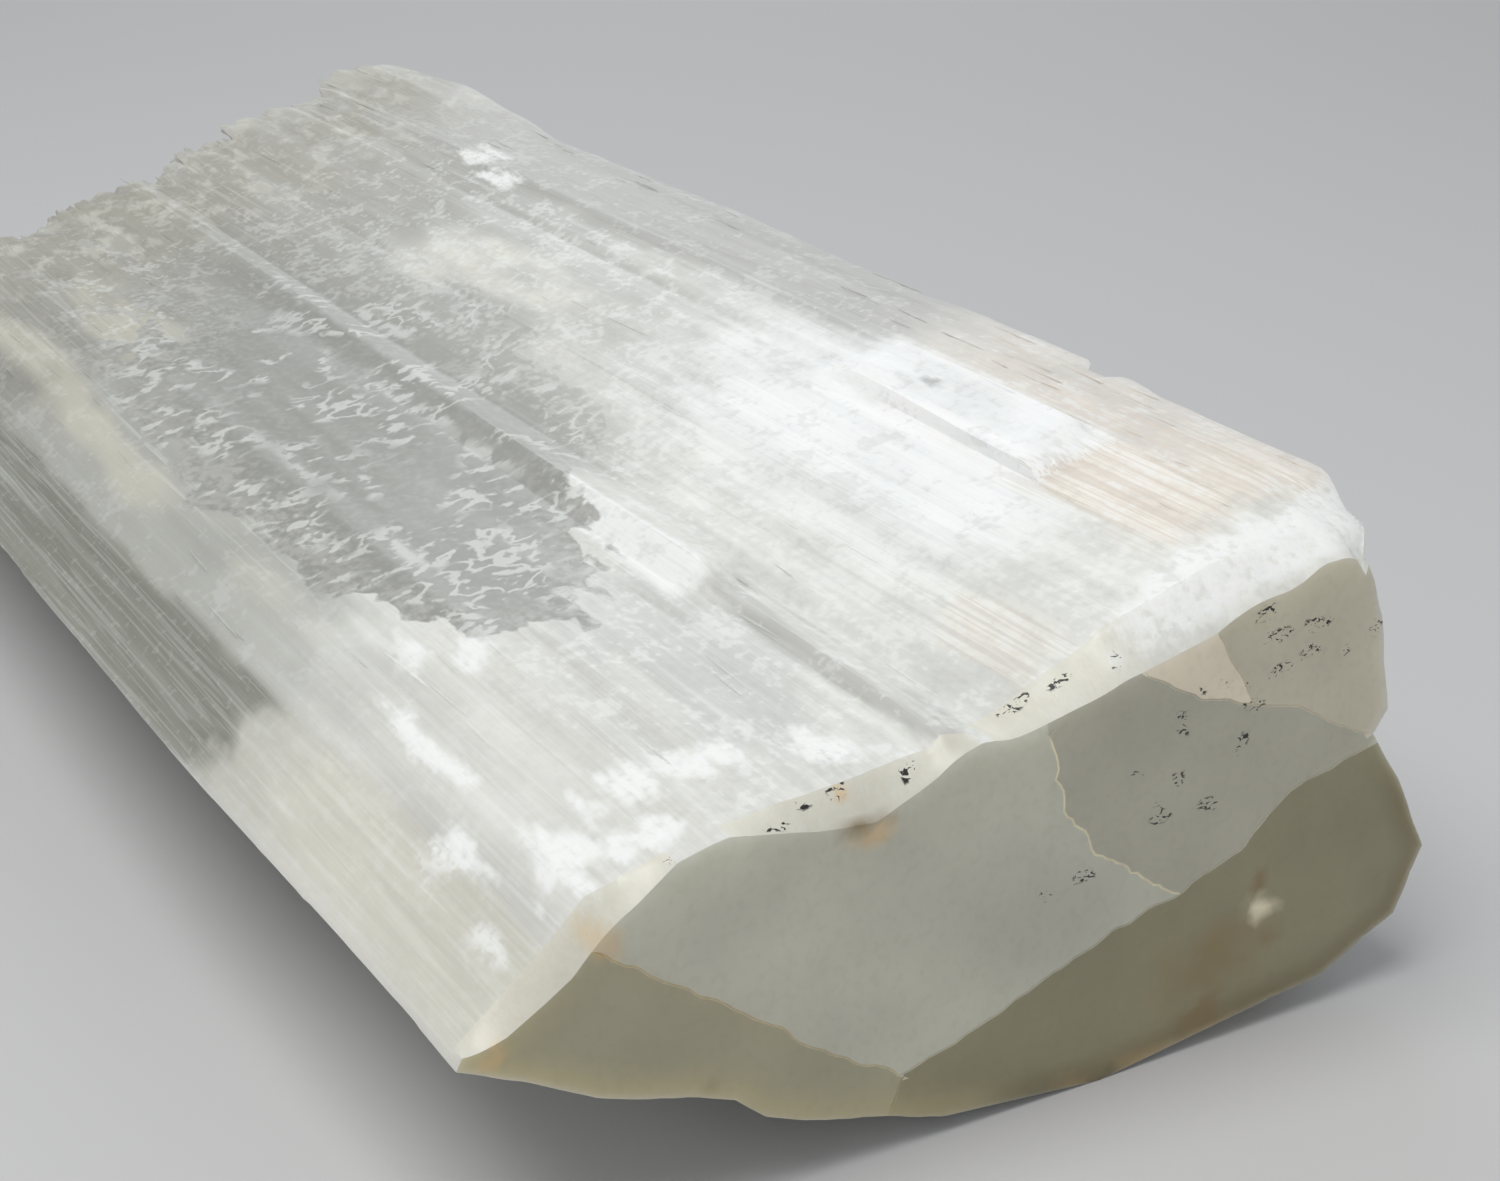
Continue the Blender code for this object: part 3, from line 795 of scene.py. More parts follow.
# %% White fluffs
FLUFFS = ((-25.0, 10.5, 3.6, 3.6), (-32.0, 7.5, 2.4, 4.4), (-27.0, 4.6, 3.4, 2.4), (-25.2, 38.0, 2.6, 3.8),
          (-28.5, 42.5, 1.8, 3.2), (-20.0, 10.5, 3.8, 2.6), (-11.0, 6.7, 3.6, 3.6), (-36.0, 17.0, 2.0, 3.6),
          (-38.6, 7.0, 1.3, 2.6), (-5.0, 36.8, 1.1, 1.6), (28.7, 155.0, 2.2, 5.0), (26.3, 144.5, 1.8, 5.0),
          (22.8, 55.5, 1.6, 5.0), (-33.0, 30.0, 1.3, 8.0))

silk = smooth(-0.25, 0.45, cloud(seed=56, width=12.0, length=50.0, detail=2)) * (0.4 + 0.6 * smooth(18.0, 4.0, x))
silk = np.maximum(silk, 0.9 * smooth(60.0, 38.0, y + 4.0 * shreds) * band(x, -23.0, 19.0, 4.0))
powder_end = 2.0 + 0.18 * np.maximum(x, 0.0)
powder = smooth(9.0, 16.0, x + rag) * (1.0 - smooth(-1.0, 1.5, y + 0.5 * rag - powder_end))
on_ends = np.arange(len(x)) >= len(corner_of) * len(places)
on_face = on_ends & (y < 5.0)
fluff = np.maximum(spots(FLUFFS, 0.7 * flecks + 0.5 * shreds, 0.6), powder)
fluff = fluff * top * ~on_face * smooth(0.3, 1.5, y)
tone = paint(tone, BRIGHT, 0.85 * fluff)
print(len(FLUFFS), "bruises, over", int((fluff > 0.5).sum()), "points")

# %% [markdown]
# ## The left flank and the underside
# Past its first quarter the left flank is clear inside, and shows as a dark band with fine lines. The underside and
# the right side, which nobody sees from the front, are milky with some yellow.

# %% Flank
flank = smooth(24.9, 24.2, z + 0.3 * shreds) * smooth(-34.0, -36.5, x) * smooth(12.0, 15.0, z)
beside_top = (1.0 - top) * (1.0 - flank)
silk = np.maximum(silk, 0.9 * beside_top)
dim_start, dark_start = smooth(33.0, 43.0, y + rag), smooth(46.0, 53.0, y + 1.5 * rag)
dark = flank * (0.4 * dim_start + 0.6 * dark_start) * (1.0 - 0.5 * far)
streaked = seen(118, 119, 110, SIDE_LIGHT) + 0.05 * smooth(-0.2, 0.6, fibres + 0.5 * shreds)[:, None]
tone = paint(tone, streaked, 0.95 * dark)
tone = layered(tone, ((204, 203, 190), 0.7 * flank * (1.0 - dark)))
tone = paint(tone, IVORY, 0.5 * beside_top * smooth(-0.4, 0.4, clouds))
print("the dark band covers %.0f %% of the flank" % (100 * (dark > 0.5).sum() / (flank > 0.5).sum()))

# %% [markdown]
# ## The crystals of the sawn face
# The saw cut through several crystals, and each has its own grey. Which one a place belongs to follows from its side
# of the cracks, so each triangle gets the tone of its crystal. The thin walls of the cracks are paler.

# %% Crystals and cracks
SEAM_RIGHT, SEAM_TOP, SEAM_LOW, SEAM_LEFT, SEAM_DOWN, SEAM_UP = range(len(CRACKS))
CRYSTALS = {
    "left": seen(152, 152, 141, FACE_LIGHT),
    "middle": seen(140, 138, 126, FACE_LIGHT),
    "upper": seen(154, 150, 135, FACE_LIGHT),
    "upper left": seen(178, 171, 156, FACE_LIGHT),
    "lower left": seen(130, 127, 108, FACE_LIGHT),
    "lower right": seen(113, 109, 88, FACE_LIGHT),
}
SEAM_TONES = (seen(180, 175, 156, FACE_LIGHT), seen(162, 157, 143, FACE_LIGHT), seen(150, 147, 133, FACE_LIGHT),
              seen(158, 152, 132, FACE_LIGHT), seen(128, 125, 104, FACE_LIGHT), seen(165, 159, 145, FACE_LIGHT))
RUN_ON, RUN_POINTS = 15, 4
UPPER_START, UPPER_FLOOR, LOWER_CEILING, LOWER_LEFT_END = 10.6, 22.0, 24.0, -6.0


def beside_crack(number, place_x, place_z):
    """How far places lie to the left of a crack, seen along it; less than 0 for its right."""
    line = crack_line(number, CRACKS[number])
    nearest, signed = np.full(len(place_x), 999.0), np.zeros(len(place_x))
    before = line[0] + RUN_ON * (line[0] - line[RUN_POINTS])
    after = line[-1] + RUN_ON * (line[-1] - line[-1 - RUN_POINTS])
    line = np.vstack([before, line, after])
    for (ax, az), (bx, bz) in zip(line, line[1:]):
        length = math.hypot(bx - ax, bz - az)
        along_it = ((place_x - ax) * (bx - ax) + (place_z - az) * (bz - az)) / length
        left = ((bx - ax) * (place_z - az) - (bz - az) * (place_x - ax)) / length
        away = np.hypot(left, along_it - np.clip(along_it, 0.0, length))
        signed = np.where(away < nearest, np.copysign(away, left), signed)
        nearest = np.minimum(nearest, away)
    return signed


def crystal_at(place_x, place_z):
    """The name of the crystal at each place of the sawn face."""
    over = [beside_crack(number, place_x, place_z) > 0 for number in range(len(CRACKS))]
    names = np.where(over[SEAM_RIGHT], "middle", "left").astype(object)
    upper = over[SEAM_TOP] & (place_x > UPPER_START) & (place_z > UPPER_FLOOR)
    names[upper] = np.where(over[SEAM_UP], "upper", "upper left")[upper]
    names[~over[SEAM_LOW] & over[SEAM_DOWN] & (place_z < LOWER_CEILING)] = "lower right"
    names[~over[SEAM_LEFT] & ~over[SEAM_DOWN] & (place_x < LOWER_LEFT_END)] = "lower left"
    return names


polygons = len(mesh.polygons)
centres = np.empty(polygons * 3)
mesh.polygons.foreach_get("center", centres)
centre_x, centre_z = centres[0::3] / MM + CENTRE_X, (centres[2::3] - cad_box[0][2]) / MM
centre_y = (centres[1::3] - cad_box[0][1]) / MM
side_count = len(corner_of) * (len(places) - 1)
number = np.arange(polygons)
sawn = (number >= side_count) & (number < side_count + len(sawn_faces))
flat = (number < side_count) & on_top[number % len(corner_of)] & (flat_drop(centre_x, centre_y) > 0.0)
names = crystal_at(centre_x, centre_z)
print({name: int((sawn & (names == name)).sum()) for name in CRYSTALS})

# %% [markdown]
# ## Rust and brown stains
# Iron has stained the sawn face and its flats, mostly along the cracks and near the lower edge. Each stain is an oval
# whose edge noise makes ragged. A row of the list says its colour, how strong it is, its middle and half sizes in x
# and z, and how ragged and how soft it is.

# %% Stains
RUST, BROWN, PALE, OLIVE = (168, 142, 100), (104, 90, 62), (186, 179, 158), (108, 90, 54)
RUST_STAINS = (
    (RUST, 0.4, (-32.6, 24.6, 1.7, 1.3), 0.9, 0.6),
    (RUST, 0.45, (-41.3, 18.4, 1.5, 1.1), 0.9, 0.6),
    (RUST, 0.8, (-11.6, 27.5, 3.6, 1.2), 0.5, 0.7),
    (RUST, 0.8, (-13.1, 30.7, 0.9, 0.6), 0.5, 0.8),
    (OLIVE, 0.55, (21.0, 7.6, 7.5, 5.2), 0.35, 1.0),
)
BROWN_STAINS = (
    (BROWN, 0.95, (-12.6, 28.3, 3.8, 0.6), 0.3, 0.8),
    (BROWN, 0.6, (-24.3, 10.6, 1.4, 0.8), 0.5, 0.8),
    (BROWN, 0.9, (20.6, 2.6, 3.2, 2.4), 0.6, 0.8),
    (BROWN, 0.7, (27.2, 8.3, 2.6, 0.6), 0.5, 0.9),
    (BROWN, 0.9, (25.4, 13.6, 1.0, 1.3), 0.3, 0.8),
    (PALE, 1.0, (25.8, 11.2, 1.5, 1.1), 0.6, 0.7),
)
EDGE_RUST, SEAM_RUST = 0.45, 0.07

stains = wave(61, x / 2.4, z / 2.4) + 0.5 * wave(62, x / 1.1, z / 1.1)
from_seam = np.abs(beside_crack(SEAM_LEFT, x, z))
low_edge = smooth(2.4, 0.2, z) * smooth(2.0, 8.0, x) * smooth(-0.5, 0.3, stains)
along_seam = smooth(1.3, 0.2, from_seam) * smooth(-33.0, -31.0, x) * smooth(-12.0, -22.0, x)


def stain_layers(rows):
    """A layer of paint for each stain of a list."""
    return [(colour, strength * oval(*where, ragged * stains, soft, z))
            for colour, strength, where, ragged, soft in rows]


def stained(tone):
    """Tones of the sawn face and its flats, with rust and brown stains."""
    rust = stain_layers(RUST_STAINS) + [(RUST, EDGE_RUST * low_edge), (RUST, SEAM_RUST * along_seam)]
    return layered(tone, *rust, *stain_layers(BROWN_STAINS), light=FACE_LIGHT)


print(len(RUST_STAINS), "stains of rust,", len(BROWN_STAINS), "of brown")

# %% [markdown]
# ## One tone for each corner of each face
# The tones of the natural faces change softly from point to point, and those of the sawn face jump at the cracks.
# Storing a tone at every corner of every face allows both. Near its edge the sawn face is yellower on the left and
# browner on the right: partly brown stain, partly painted shade that dims the glow of the thin edge. Haze makes it
# uneven.

# %% Tones on the mesh
RIM_REACH, RIM_HEIGHT = (3.0, 0.2), (24.0, 16.0)
HAZE_DEPTH, FLAT_PAINT = 0.12, (217, 214, 198)

haze = wave(63, x / 11.0, z / 11.0) + 0.5 * wave(64, x / 5.0, z / 5.0) + 0.3 * wave(65, x / 2.0, z / 2.0)
from_outline = np.full(len(x), FAR_AWAY)
for edge_x, edge_z in zip(X[0], Z[0]):
    from_outline = np.minimum(from_outline, np.hypot(x - edge_x, z - edge_z))
rim = smooth(*RIM_REACH, from_outline) * smooth(*RIM_HEIGHT, z)

loop_point = np.empty(len(mesh.loops), int)
mesh.loops.foreach_get("vertex_index", loop_point)
loop_face = np.repeat(number, [polygon.loop_total for polygon in mesh.polygons])
on_sawn, on_flat = sawn[loop_face], flat[loop_face]
crystal = np.array([CRYSTALS[name] for name in names])
for crack, seam_tone in enumerate(SEAM_TONES):
    crack_points = len(corner_of) * len(places) + np.flatnonzero(sawn_cracks == crack)
    crystal[loop_face[np.isin(loop_point, crack_points)]] = seam_tone
face_tone = crystal[loop_face] * (1.0 + HAZE_DEPTH * haze[loop_point])[:, None]
# near the edge: a yellow tint on the left, and on the right brown stain together with painted shade against the glow
yellow_rim, brown_stain_and_edge_shade = 0.5 * rim * smooth(4.0, -4.0, x), 0.6 * rim * smooth(-2.0, 6.0, x)
face_tone = layered(face_tone, ((150, 138, 104), yellow_rim[loop_point]), ((78, 68, 42), brown_stain_and_edge_shade[loop_point]),
                    light=FACE_LIGHT)
flat_tone = stained(layered(tone, (FLAT_PAINT, 0.7 - 0.55 * smooth(8.0, 15.0, x + rag))))[loop_point]
stain_share = stained(np.zeros((len(x), 3)))[loop_point]
clean_share = 1.0 - stained(np.ones((len(x), 3)))[loop_point] + stain_share
face_tone = face_tone * (1.0 - clean_share) + stain_share
loop_tone = tone[loop_point]
loop_tone = np.where(on_flat[:, None], flat_tone, loop_tone)
loop_tone = np.where(on_sawn[:, None], face_tone, loop_tone)
rgba = np.concatenate([np.clip(loop_tone, 0.0, 1.0), np.ones((len(loop_tone), 1))], axis=1)
mesh.attributes.new("tone", "FLOAT_COLOR", "CORNER").data.foreach_set("color", rgba.ravel().astype(np.float32))
print("tones from", loop_tone.min(axis=0).round(2), "to", loop_tone.max(axis=0).round(2))

# %% [markdown]
# ## Groups of black specks
# Black specks lie in small groups on the sawn face and along its upper edge. Only the groups are listed, by x
# and z on the face and by x and y on the flats; the material draws the strokes inside them.

# %% Specks and the cut faces
GROUPS = ((23.9, 37.2, 0.9, 0.6), (25.6, 35.4, 1.5, 0.6), (29.0, 35.2, 1.7, 0.6), (34.9, 33.6, 1.0, 0.9),
          (32.4, 32.2, 0.9, 0.4), (28.4, 33.0, 0.9, 0.4), (26.0, 32.2, 1.6, 0.7), (22.9, 31.4, 1.8, 0.5),
          (18.8, 31.7, 1.7, 0.5), (23.2, 29.7, 1.4, 0.6), (16.5, 29.6, 0.9, 0.8), (22.6, 26.7, 0.9, 1.1),
          (16.4, 24.8, 0.8, 1.0), (19.1, 21.7, 1.7, 0.7), (12.0, 26.3, 0.9, 0.7), (14.7, 22.2, 1.1, 0.8),
          (7.3, 18.7, 1.8, 0.5), (4.3, 18.3, 1.1, 0.5), (13.6, 18.0, 0.7, 0.7))
RIM_SPECKS = ((2.6, 2.8, 1.9, 0.4), (6.3, 2.4, 1.7, 0.4), (10.6, 1.4, 0.6, 0.6), (-16.6, 1.2, 1.5, 0.4),
              (-13.4, 1.6, 1.3, 0.4), (-7.6, 1.1, 1.1, 0.4), (-18.9, 0.4, 1.4, 0.4), (-27.0, 0.7, 1.0, 0.4))

specks = spots(GROUPS, 0.5 * stains, 0.5, z)
rim_specks = spots(RIM_SPECKS, 0.4 * stains, 0.5) * top
speck_share = np.where(on_sawn, specks[loop_point], np.where(on_flat, rim_specks[loop_point], 0.0))
flat_cut = flat * (0.6 - 0.45 * smooth(8.0, 15.0, centre_x))
cut = np.where(sawn, 1.0, flat_cut)[loop_face]
for name, values in {"specks": speck_share, "cut": cut}.items():
    mesh.attributes.new(name, "FLOAT", "CORNER").data.foreach_set("value", values.astype(np.float32))
print(len(GROUPS), "groups of specks on the sawn face,", len(RIM_SPECKS), "on the flats")

# %% [markdown]
# ## What the material and the slivers read
# The material asks the mesh where each look belongs: how cottony, silky or bruised the stone is, and where the clear
# window, its marks and the fine lines lie. Each is a share stored at the points. Two more shares, loose and torn, say
# where slivers and splinters grow.

# %% Shares on the mesh
DEEPEST = 8.0

right_edge = np.maximum(lined, 0.7 * right_grey)
away_from_window = inside < -2.0
loose = top * ~on_face * smooth(10.0, 16.0, y) * np.clip(fibres + 0.5 * lined, 0.0, 1.0) * away_from_window
torn = (np.arange(len(x)) >= len(corner_of) * len(places) + len(sawn_places)) * smooth(3.0, 5.0, z)
cottony = (1.0 - dark) * (1.0 - 0.4 * right_grey) * (0.6 + 0.4 * top)
cottony *= (1.0 - 0.6 * far) * (1.0 - 0.65 * smooth(-20.0, -29.0, x + shreds))
shares = {
    "cottony": cottony, "dark": dark, "loose": loose, "torn": torn, "inside": np.clip(inside, -DEEPEST, DEEPEST),
    "clear": clear, "smoke": smoke, "marked": marked, "fluff": fluff, "lined": right_edge, "tan": lined,
    "silk": silk, "beads": beads * top,
}
for name, values in shares.items():
    mesh.attributes.new(name, "FLOAT", "POINT").data.foreach_set("value", values.astype(np.float32))
print({name: round(float(values.mean()), 2) for name, values in shares.items()})

# %% [markdown]
# ## A small language for patterns
# What is finer than the net is worked out by the material. The class below lets its sums be written as sums; each
# one adds the nodes that do it.


# %% Fields
class Field:
    """A value at every point of the surface. Arithmetic on fields adds the nodes that work it out."""

    def __init__(self, socket):
        self.socket = socket

    @staticmethod
    def node(kind, sockets=(), output=0, **settings):
        """Any node: its settings by name, and values or fields for its inputs by number or by name."""
        made = tree.nodes.new("ShaderNode" + kind)
        for name, value in settings.items():
            setattr(made, name, value)
        for key, value in dict(sockets).items():
            if isinstance(value, Field):
                tree.links.new(value.socket, made.inputs[key])
            else:
                made.inputs[key].default_value = value
        return Field(made.outputs[output])

    def maths(self, operation, *others):
        """The field and others through one Math node."""
        return Field.node("Math", enumerate((self,) + others), operation=operation)

    def __add__(self, other):
        return self.maths("ADD", other)

    def __mul__(self, other):
        return self.maths("MULTIPLY", other)

    def __sub__(self, other):
        return self.maths("SUBTRACT", other)

    def __rsub__(self, other):
        return Field.node("Math", enumerate((other, self)), operation="SUBTRACT")

    def __or__(self, other):
        return self.maths("MAXIMUM", other)

    __radd__ = __add__
    __rmul__ = __mul__


def rise(low, high, field):
    """0 at low and 1 at high, and an even S-shaped rise between them; low may be the larger one."""
    return Field.node("MapRange", {"Value": field, "From Min": low, "From Max": high},
                      interpolation_type="SMOOTHSTEP")


def grain(size, seed=0.0, detail=1.0, distortion=0.0, at=None):
    """Noise from 0 to 1 whose lumps have a size along x, y and z."""
    steps = {0: at or place, 1: tuple(1.0 / side for side in size), 2: (seed, seed * 1.7, 0.0)}
    scaled = Field.node("VectorMath", steps, operation="MULTIPLY_ADD")
    return Field.node("TexNoise", {"Vector": scaled, "Scale": 1.0, "Detail": detail, "Distortion": distortion})


def stored(name, output=2):
    """A value that the mesh carries at its points or corners."""
    return Field.node("Attribute", output=output, attribute_name=name)


def mixed(first, second, share):
    """One colour or field of colours changed into another by a share."""
    return Field.node("Mix", {0: share, 6: first, 7: second}, output=2, data_type="RGBA")


def opaque(colour):
    """A tone as a socket takes it."""
    return tuple(float(part) for part in colour) + (1.0,)


# %% [markdown]
# ## Fibres, crumbs and marks
# Fine fibres run through all of the stone, and noise stretched along the block looks like them. Crumbs and clumps are
# rounder noise. In the window, old gaps show as white marks that run across the fibres, so their noise is turned.

# %% Patterns of the stone
stone = bpy.data.materials.new("satin_stone")
stone.use_nodes = True
tree = stone.node_tree
surface = tree.nodes["Principled BSDF"]
corner = Field.node("TexCoord", output=3)
place = Field.node("VectorMath", {0: corner, 1: (1 / MM,) * 3, 2: (CENTRE_X, -cad_box[0][1] / MM, 0.0)},
                   operation="MULTIPLY_ADD")
cut_share, fluff_share, lined_share = stored("cut"), stored("fluff"), stored("lined")
marked_share, smoke_share = stored("marked"), stored("smoke")
natural_share = 1.0 - cut_share

hairs = grain((0.26, 22.0, 0.26), seed=1.0)
threads = grain((0.75, 30.0, 0.75), seed=2.0, detail=2.0)
crumbs = grain((0.8, 1.1, 0.8), seed=6.0, detail=3.0)
slanted = Field.node("VectorRotate", {0: place, "Angle": math.radians(-13.0)}, rotation_type="Z_AXIS")
squiggle = grain((4.4, 3.6, 4.4), seed=7.0, detail=1.3, distortion=0.5, at=slanted)
clumps = grain((3.2, 5.0, 3.2), seed=8.0, detail=3.0, distortion=0.3)
gate = grain((7.0, 12.0, 7.0), seed=5.0)
breaks = grain((4.2, 5.5, 4.2), seed=12.0)
print("patterns take", len(tree.nodes), "nodes")

# %% [markdown]
# ## Milk, silk and the clear window
# The tone of the mesh is the ground. The window is laid over it with a torn edge, and where there is no window the
# milky stone gets its cottony clumps and its silky threads. Each pattern lightens or dims the colour a little, by a
# share that the mesh carries.

# %% Colour of the natural faces
CLUMP_EDGE, GATE_EDGE, CRUMB_EDGE = 12.0, 8.0, 1.6

cotton = clumps * 0.55 + crumbs * 0.45
edge = stored("inside") + (clumps - 0.5) * CLUMP_EDGE + (gate - 0.5) * GATE_EDGE + (crumbs - 0.5) * CRUMB_EDGE
window = rise(-0.4, 0.8, edge) * stored("clear") * natural_share
pane = mixed(opaque(CLEAR), opaque(SMOKY), smoke_share * 0.6 + rise(0.45, 0.62, crumbs) * 0.3)
pane = mixed(pane, opaque(DULL_GREY), rise(9.0, 1.0, edge) * rise(0.42, 0.60, cotton) * 0.8)
colour = mixed(stored("tone", output=0), pane, window)

milky = natural_share * (1.0 - window)
cotton_share = milky * stored("cottony")
colour = mixed(colour, opaque(BRIGHT), rise(0.50, 0.60, cotton) * 0.38 * cotton_share)
colour = mixed(colour, opaque(DULL_GREY), rise(0.48, 0.38, cotton) * 0.26 * cotton_share)
silky = milky * (0.12 + 0.5 * stored("silk"))
dim_threads, dim_hairs = rise(0.52, 0.62, threads), rise(0.50, 0.66, hairs)
colour = mixed(colour, opaque(DULL_GREY), (0.24 * dim_threads + 0.16 * dim_hairs) * silky)
pale_threads, pale_hairs = rise(0.46, 0.36, threads), rise(0.44, 0.30, hairs)
colour = mixed(colour, opaque(BRIGHT), (0.24 * pale_threads + 0.18 * pale_hairs) * silky)
lines = rise(0.47, 0.56, hairs * 0.6 + threads * 0.4) * natural_share
dark_lines = rise(0.48, 0.66, hairs) * 0.22 + rise(0.58, 0.68, crumbs) * 0.16
colour = mixed(colour, opaque(PALE_GREY), stored("dark") * dark_lines)
line_colour = mixed(opaque(DULL_GREY), opaque(TAN), stored("tan"))
colour = mixed(colour, line_colour, lines * lined_share * 0.6)
colour = mixed(colour, opaque(BRIGHT), fluff_share * rise(0.36, 0.56, crumbs) * 0.7)
print("with the natural faces,", len(tree.nodes), "nodes")

# %% [markdown]
# ## White marks and black specks
# The contour lines of a noise are loops, and where a second noise breaks them they look just like the marks in the
# window. Dashes and beads are the peaks of a finer noise. On the sawn face, the peaks of a twisted noise give the
# strokes of the specks. Drawing each stroke by hand would give a copy of one stone, not stone.

# %% Marks and specks
MARK, GRIME, SPECK = seen(213, 215, 212), seen(88, 84, 68, FACE_LIGHT), seen(14, 12, 9, FACE_LIGHT)
CONTOUR, CONTOUR_HALF = 0.60, (0.065, 0.02)

from_contour = (squiggle + crumbs * 0.2 - CONTOUR).maths("ABSOLUTE")
thread = rise(*CONTOUR_HALF, from_contour) * rise(0.47, 0.57, breaks)
dots = grain((2.7, 1.9, 2.7), seed=9.0, detail=2.0, at=slanted)
dash = rise(0.57, 0.65, dots)
bead = rise(0.45, 0.53, dots) * stored("beads")
marks = (thread | dash | bead) * marked_share * natural_share * rise(0.40, 0.54, gate)
colour = mixed(colour, opaque(MARK), marks * 0.72)
colour = mixed(colour, opaque(GRIME), cut_share * rise(0.45, 0.75, crumbs) * 0.08)

stroke = rise(0.55, 0.58, grain((0.75, 0.45, 0.42), seed=17.0, detail=2.0, distortion=1.2))
colour = mixed(colour, opaque(SPECK), rise(0.25, 0.6, stored("specks")) * stroke * 0.97)
print("with the marks,", len(tree.nodes), "nodes")

# %% [markdown]
# ## Light in the stone
# Milky stone lets light in and sends it back a few millimetres further on. Subsurface scattering does that, and glass
# with a real inside would need far longer to render. The needles made below are thinner than that distance and would
# turn dark, so they get a copy of the material without it.

# %% Surface
surface_inputs = {
    "Subsurface Weight": 0.45,
    "Subsurface Radius": (1.0, 0.97, 0.88),
    "Subsurface Scale": 0.007,
    "IOR": 1.52,
}
for name, value in surface_inputs.items():
    surface.inputs[name].default_value = value
roughness = 0.42 - 0.05 * window * (1.0 - marks) + 0.14 * fluff_share - 0.06 * cut_share
relief_height = hairs * milky * 0.05 + crumbs * milky * 0.05
relief_height = relief_height + fluff_share * crumbs * 0.16 + cut_share * crumbs * 0.015
bumped = Field.node("Bump", {"Height": relief_height, "Strength": 0.6, "Distance": MM})
tree.links.new(colour.socket, surface.inputs["Base Color"])
tree.links.new(roughness.socket, surface.inputs["Roughness"])
tree.links.new(bumped.socket, surface.inputs["Normal"])
mesh.materials.append(stone)
thin_stone = stone.copy()
thin_stone.name = "satin_stone_thin"
thin_stone.node_tree.nodes["Principled BSDF"].inputs["Subsurface Weight"].default_value = 0.0
print("the stone has", len(tree.nodes), "nodes")

# %% [markdown]
# ## A tree that lays needles
# Thin slivers have split off along the blades and still lie on them, and needles stand out of the broken end. There
# are hundreds, so Geometry Nodes place them: points spread over the surface by a share that the mesh carries, and a
# flat needle on each, laid along the blades and tilted with the surface. Both kinds use one tree with other inputs.

# %% Tree of the needles
NEEDLE_INPUTS = (("Geometry", "NodeSocketGeometry"), ("Where", "NodeSocketString"), ("Density", "NodeSocketFloat"),
                 ("Seed", "NodeSocketInt"), ("Smallest", "NodeSocketVector"), ("Largest", "NodeSocketVector"),
                 ("Sway", "NodeSocketFloat"), ("Material", "NodeSocketMaterial"))
NEEDLE_SIDES, NEEDLE_RINGS = 6, 4


def add_node(group, kind, sockets=(), **settings):
    """A node of a group, its settings by name, and sockets or values for its inputs."""
    made = group.nodes.new(kind)
    for name, value in settings.items():
        setattr(made, name, value)
    for key, value in dict(sockets).items():
        if isinstance(value, bpy.types.NodeSocket):
            group.links.new(value, made.inputs[key])
        else:
            made.inputs[key].default_value = value
    return made.outputs[0]


def needle_group():
    """The group that lays needles along a surface."""
    group = bpy.data.node_groups.new("needles", "GeometryNodeTree")
    for name, kind in NEEDLE_INPUTS:
        group.interface.new_socket(name, in_out="INPUT", socket_type=kind)
    group.interface.new_socket("Geometry", in_out="OUTPUT", socket_type="NodeSocketGeometry")
    given = group.nodes.new("NodeGroupInput").outputs
    share = add_node(group, "GeometryNodeInputNamedAttribute", {"Name": given["Where"]}, data_type="FLOAT")
    density = add_node(group, "ShaderNodeMath", {0: share, 1: given["Density"]}, operation="MULTIPLY")
    spread = {"Mesh": given["Geometry"], "Density": density, "Seed": given["Seed"]}
    points = add_node(group, "GeometryNodeDistributePointsOnFaces", spread)
    normal = points.node.outputs["Normal"]
    tilt = add_node(group, "FunctionNodeAlignRotationToVector", {"Vector": normal}, axis="Z", pivot_axis="Y")
    lowest = add_node(group, "ShaderNodeMath", {0: given["Sway"], 1: -1.0}, operation="MULTIPLY")
    turn = add_node(group, "FunctionNodeRandomValue", {2: lowest, 3: given["Sway"], "Seed": given["Seed"]})
    yaw = add_node(group, "ShaderNodeCombineXYZ", {"Z": turn.node.outputs[1]})
    turned = add_node(group, "FunctionNodeRotateRotation", {0: tilt, 1: yaw}, rotation_space="LOCAL")
    size = {0: given["Smallest"], 1: given["Largest"], "Seed": given["Seed"]}
    scale = add_node(group, "FunctionNodeRandomValue", size, data_type="FLOAT_VECTOR")
    form = {"Segments": NEEDLE_SIDES, "Rings": NEEDLE_RINGS, "Radius": 0.5}
    upright = add_node(group, "GeometryNodeMeshUVSphere", form)
    needle = add_node(group, "GeometryNodeTransform", {0: upright, "Rotation": (math.radians(90.0), 0.0, 0.0)})
    laid = add_node(group, "GeometryNodeInstanceOnPoints",
                    {"Points": points, "Instance": needle, "Rotation": turned, "Scale": scale})
    plain = add_node(group, "GeometryNodeRealizeInstances", {0: laid})
    covered = add_node(group, "GeometryNodeSetMaterial", {"Geometry": plain, "Material": given["Material"]})
    group.links.new(covered, group.nodes.new("NodeGroupOutput").inputs[0])
    return group


group = needle_group()
print("the needles' tree has", len(group.nodes), "nodes and", len(NEEDLE_INPUTS), "inputs")

# %% [markdown]
# ## Loose slivers and splinters
# Slivers are thinner and longer than the splinters of the break, and turn less from the blades' direction. The tree
# runs on a copy of the block's mesh, and its result is kept as a plain mesh, so no modifier is left. Needles that
# reach past the solid's box are cut back to it.

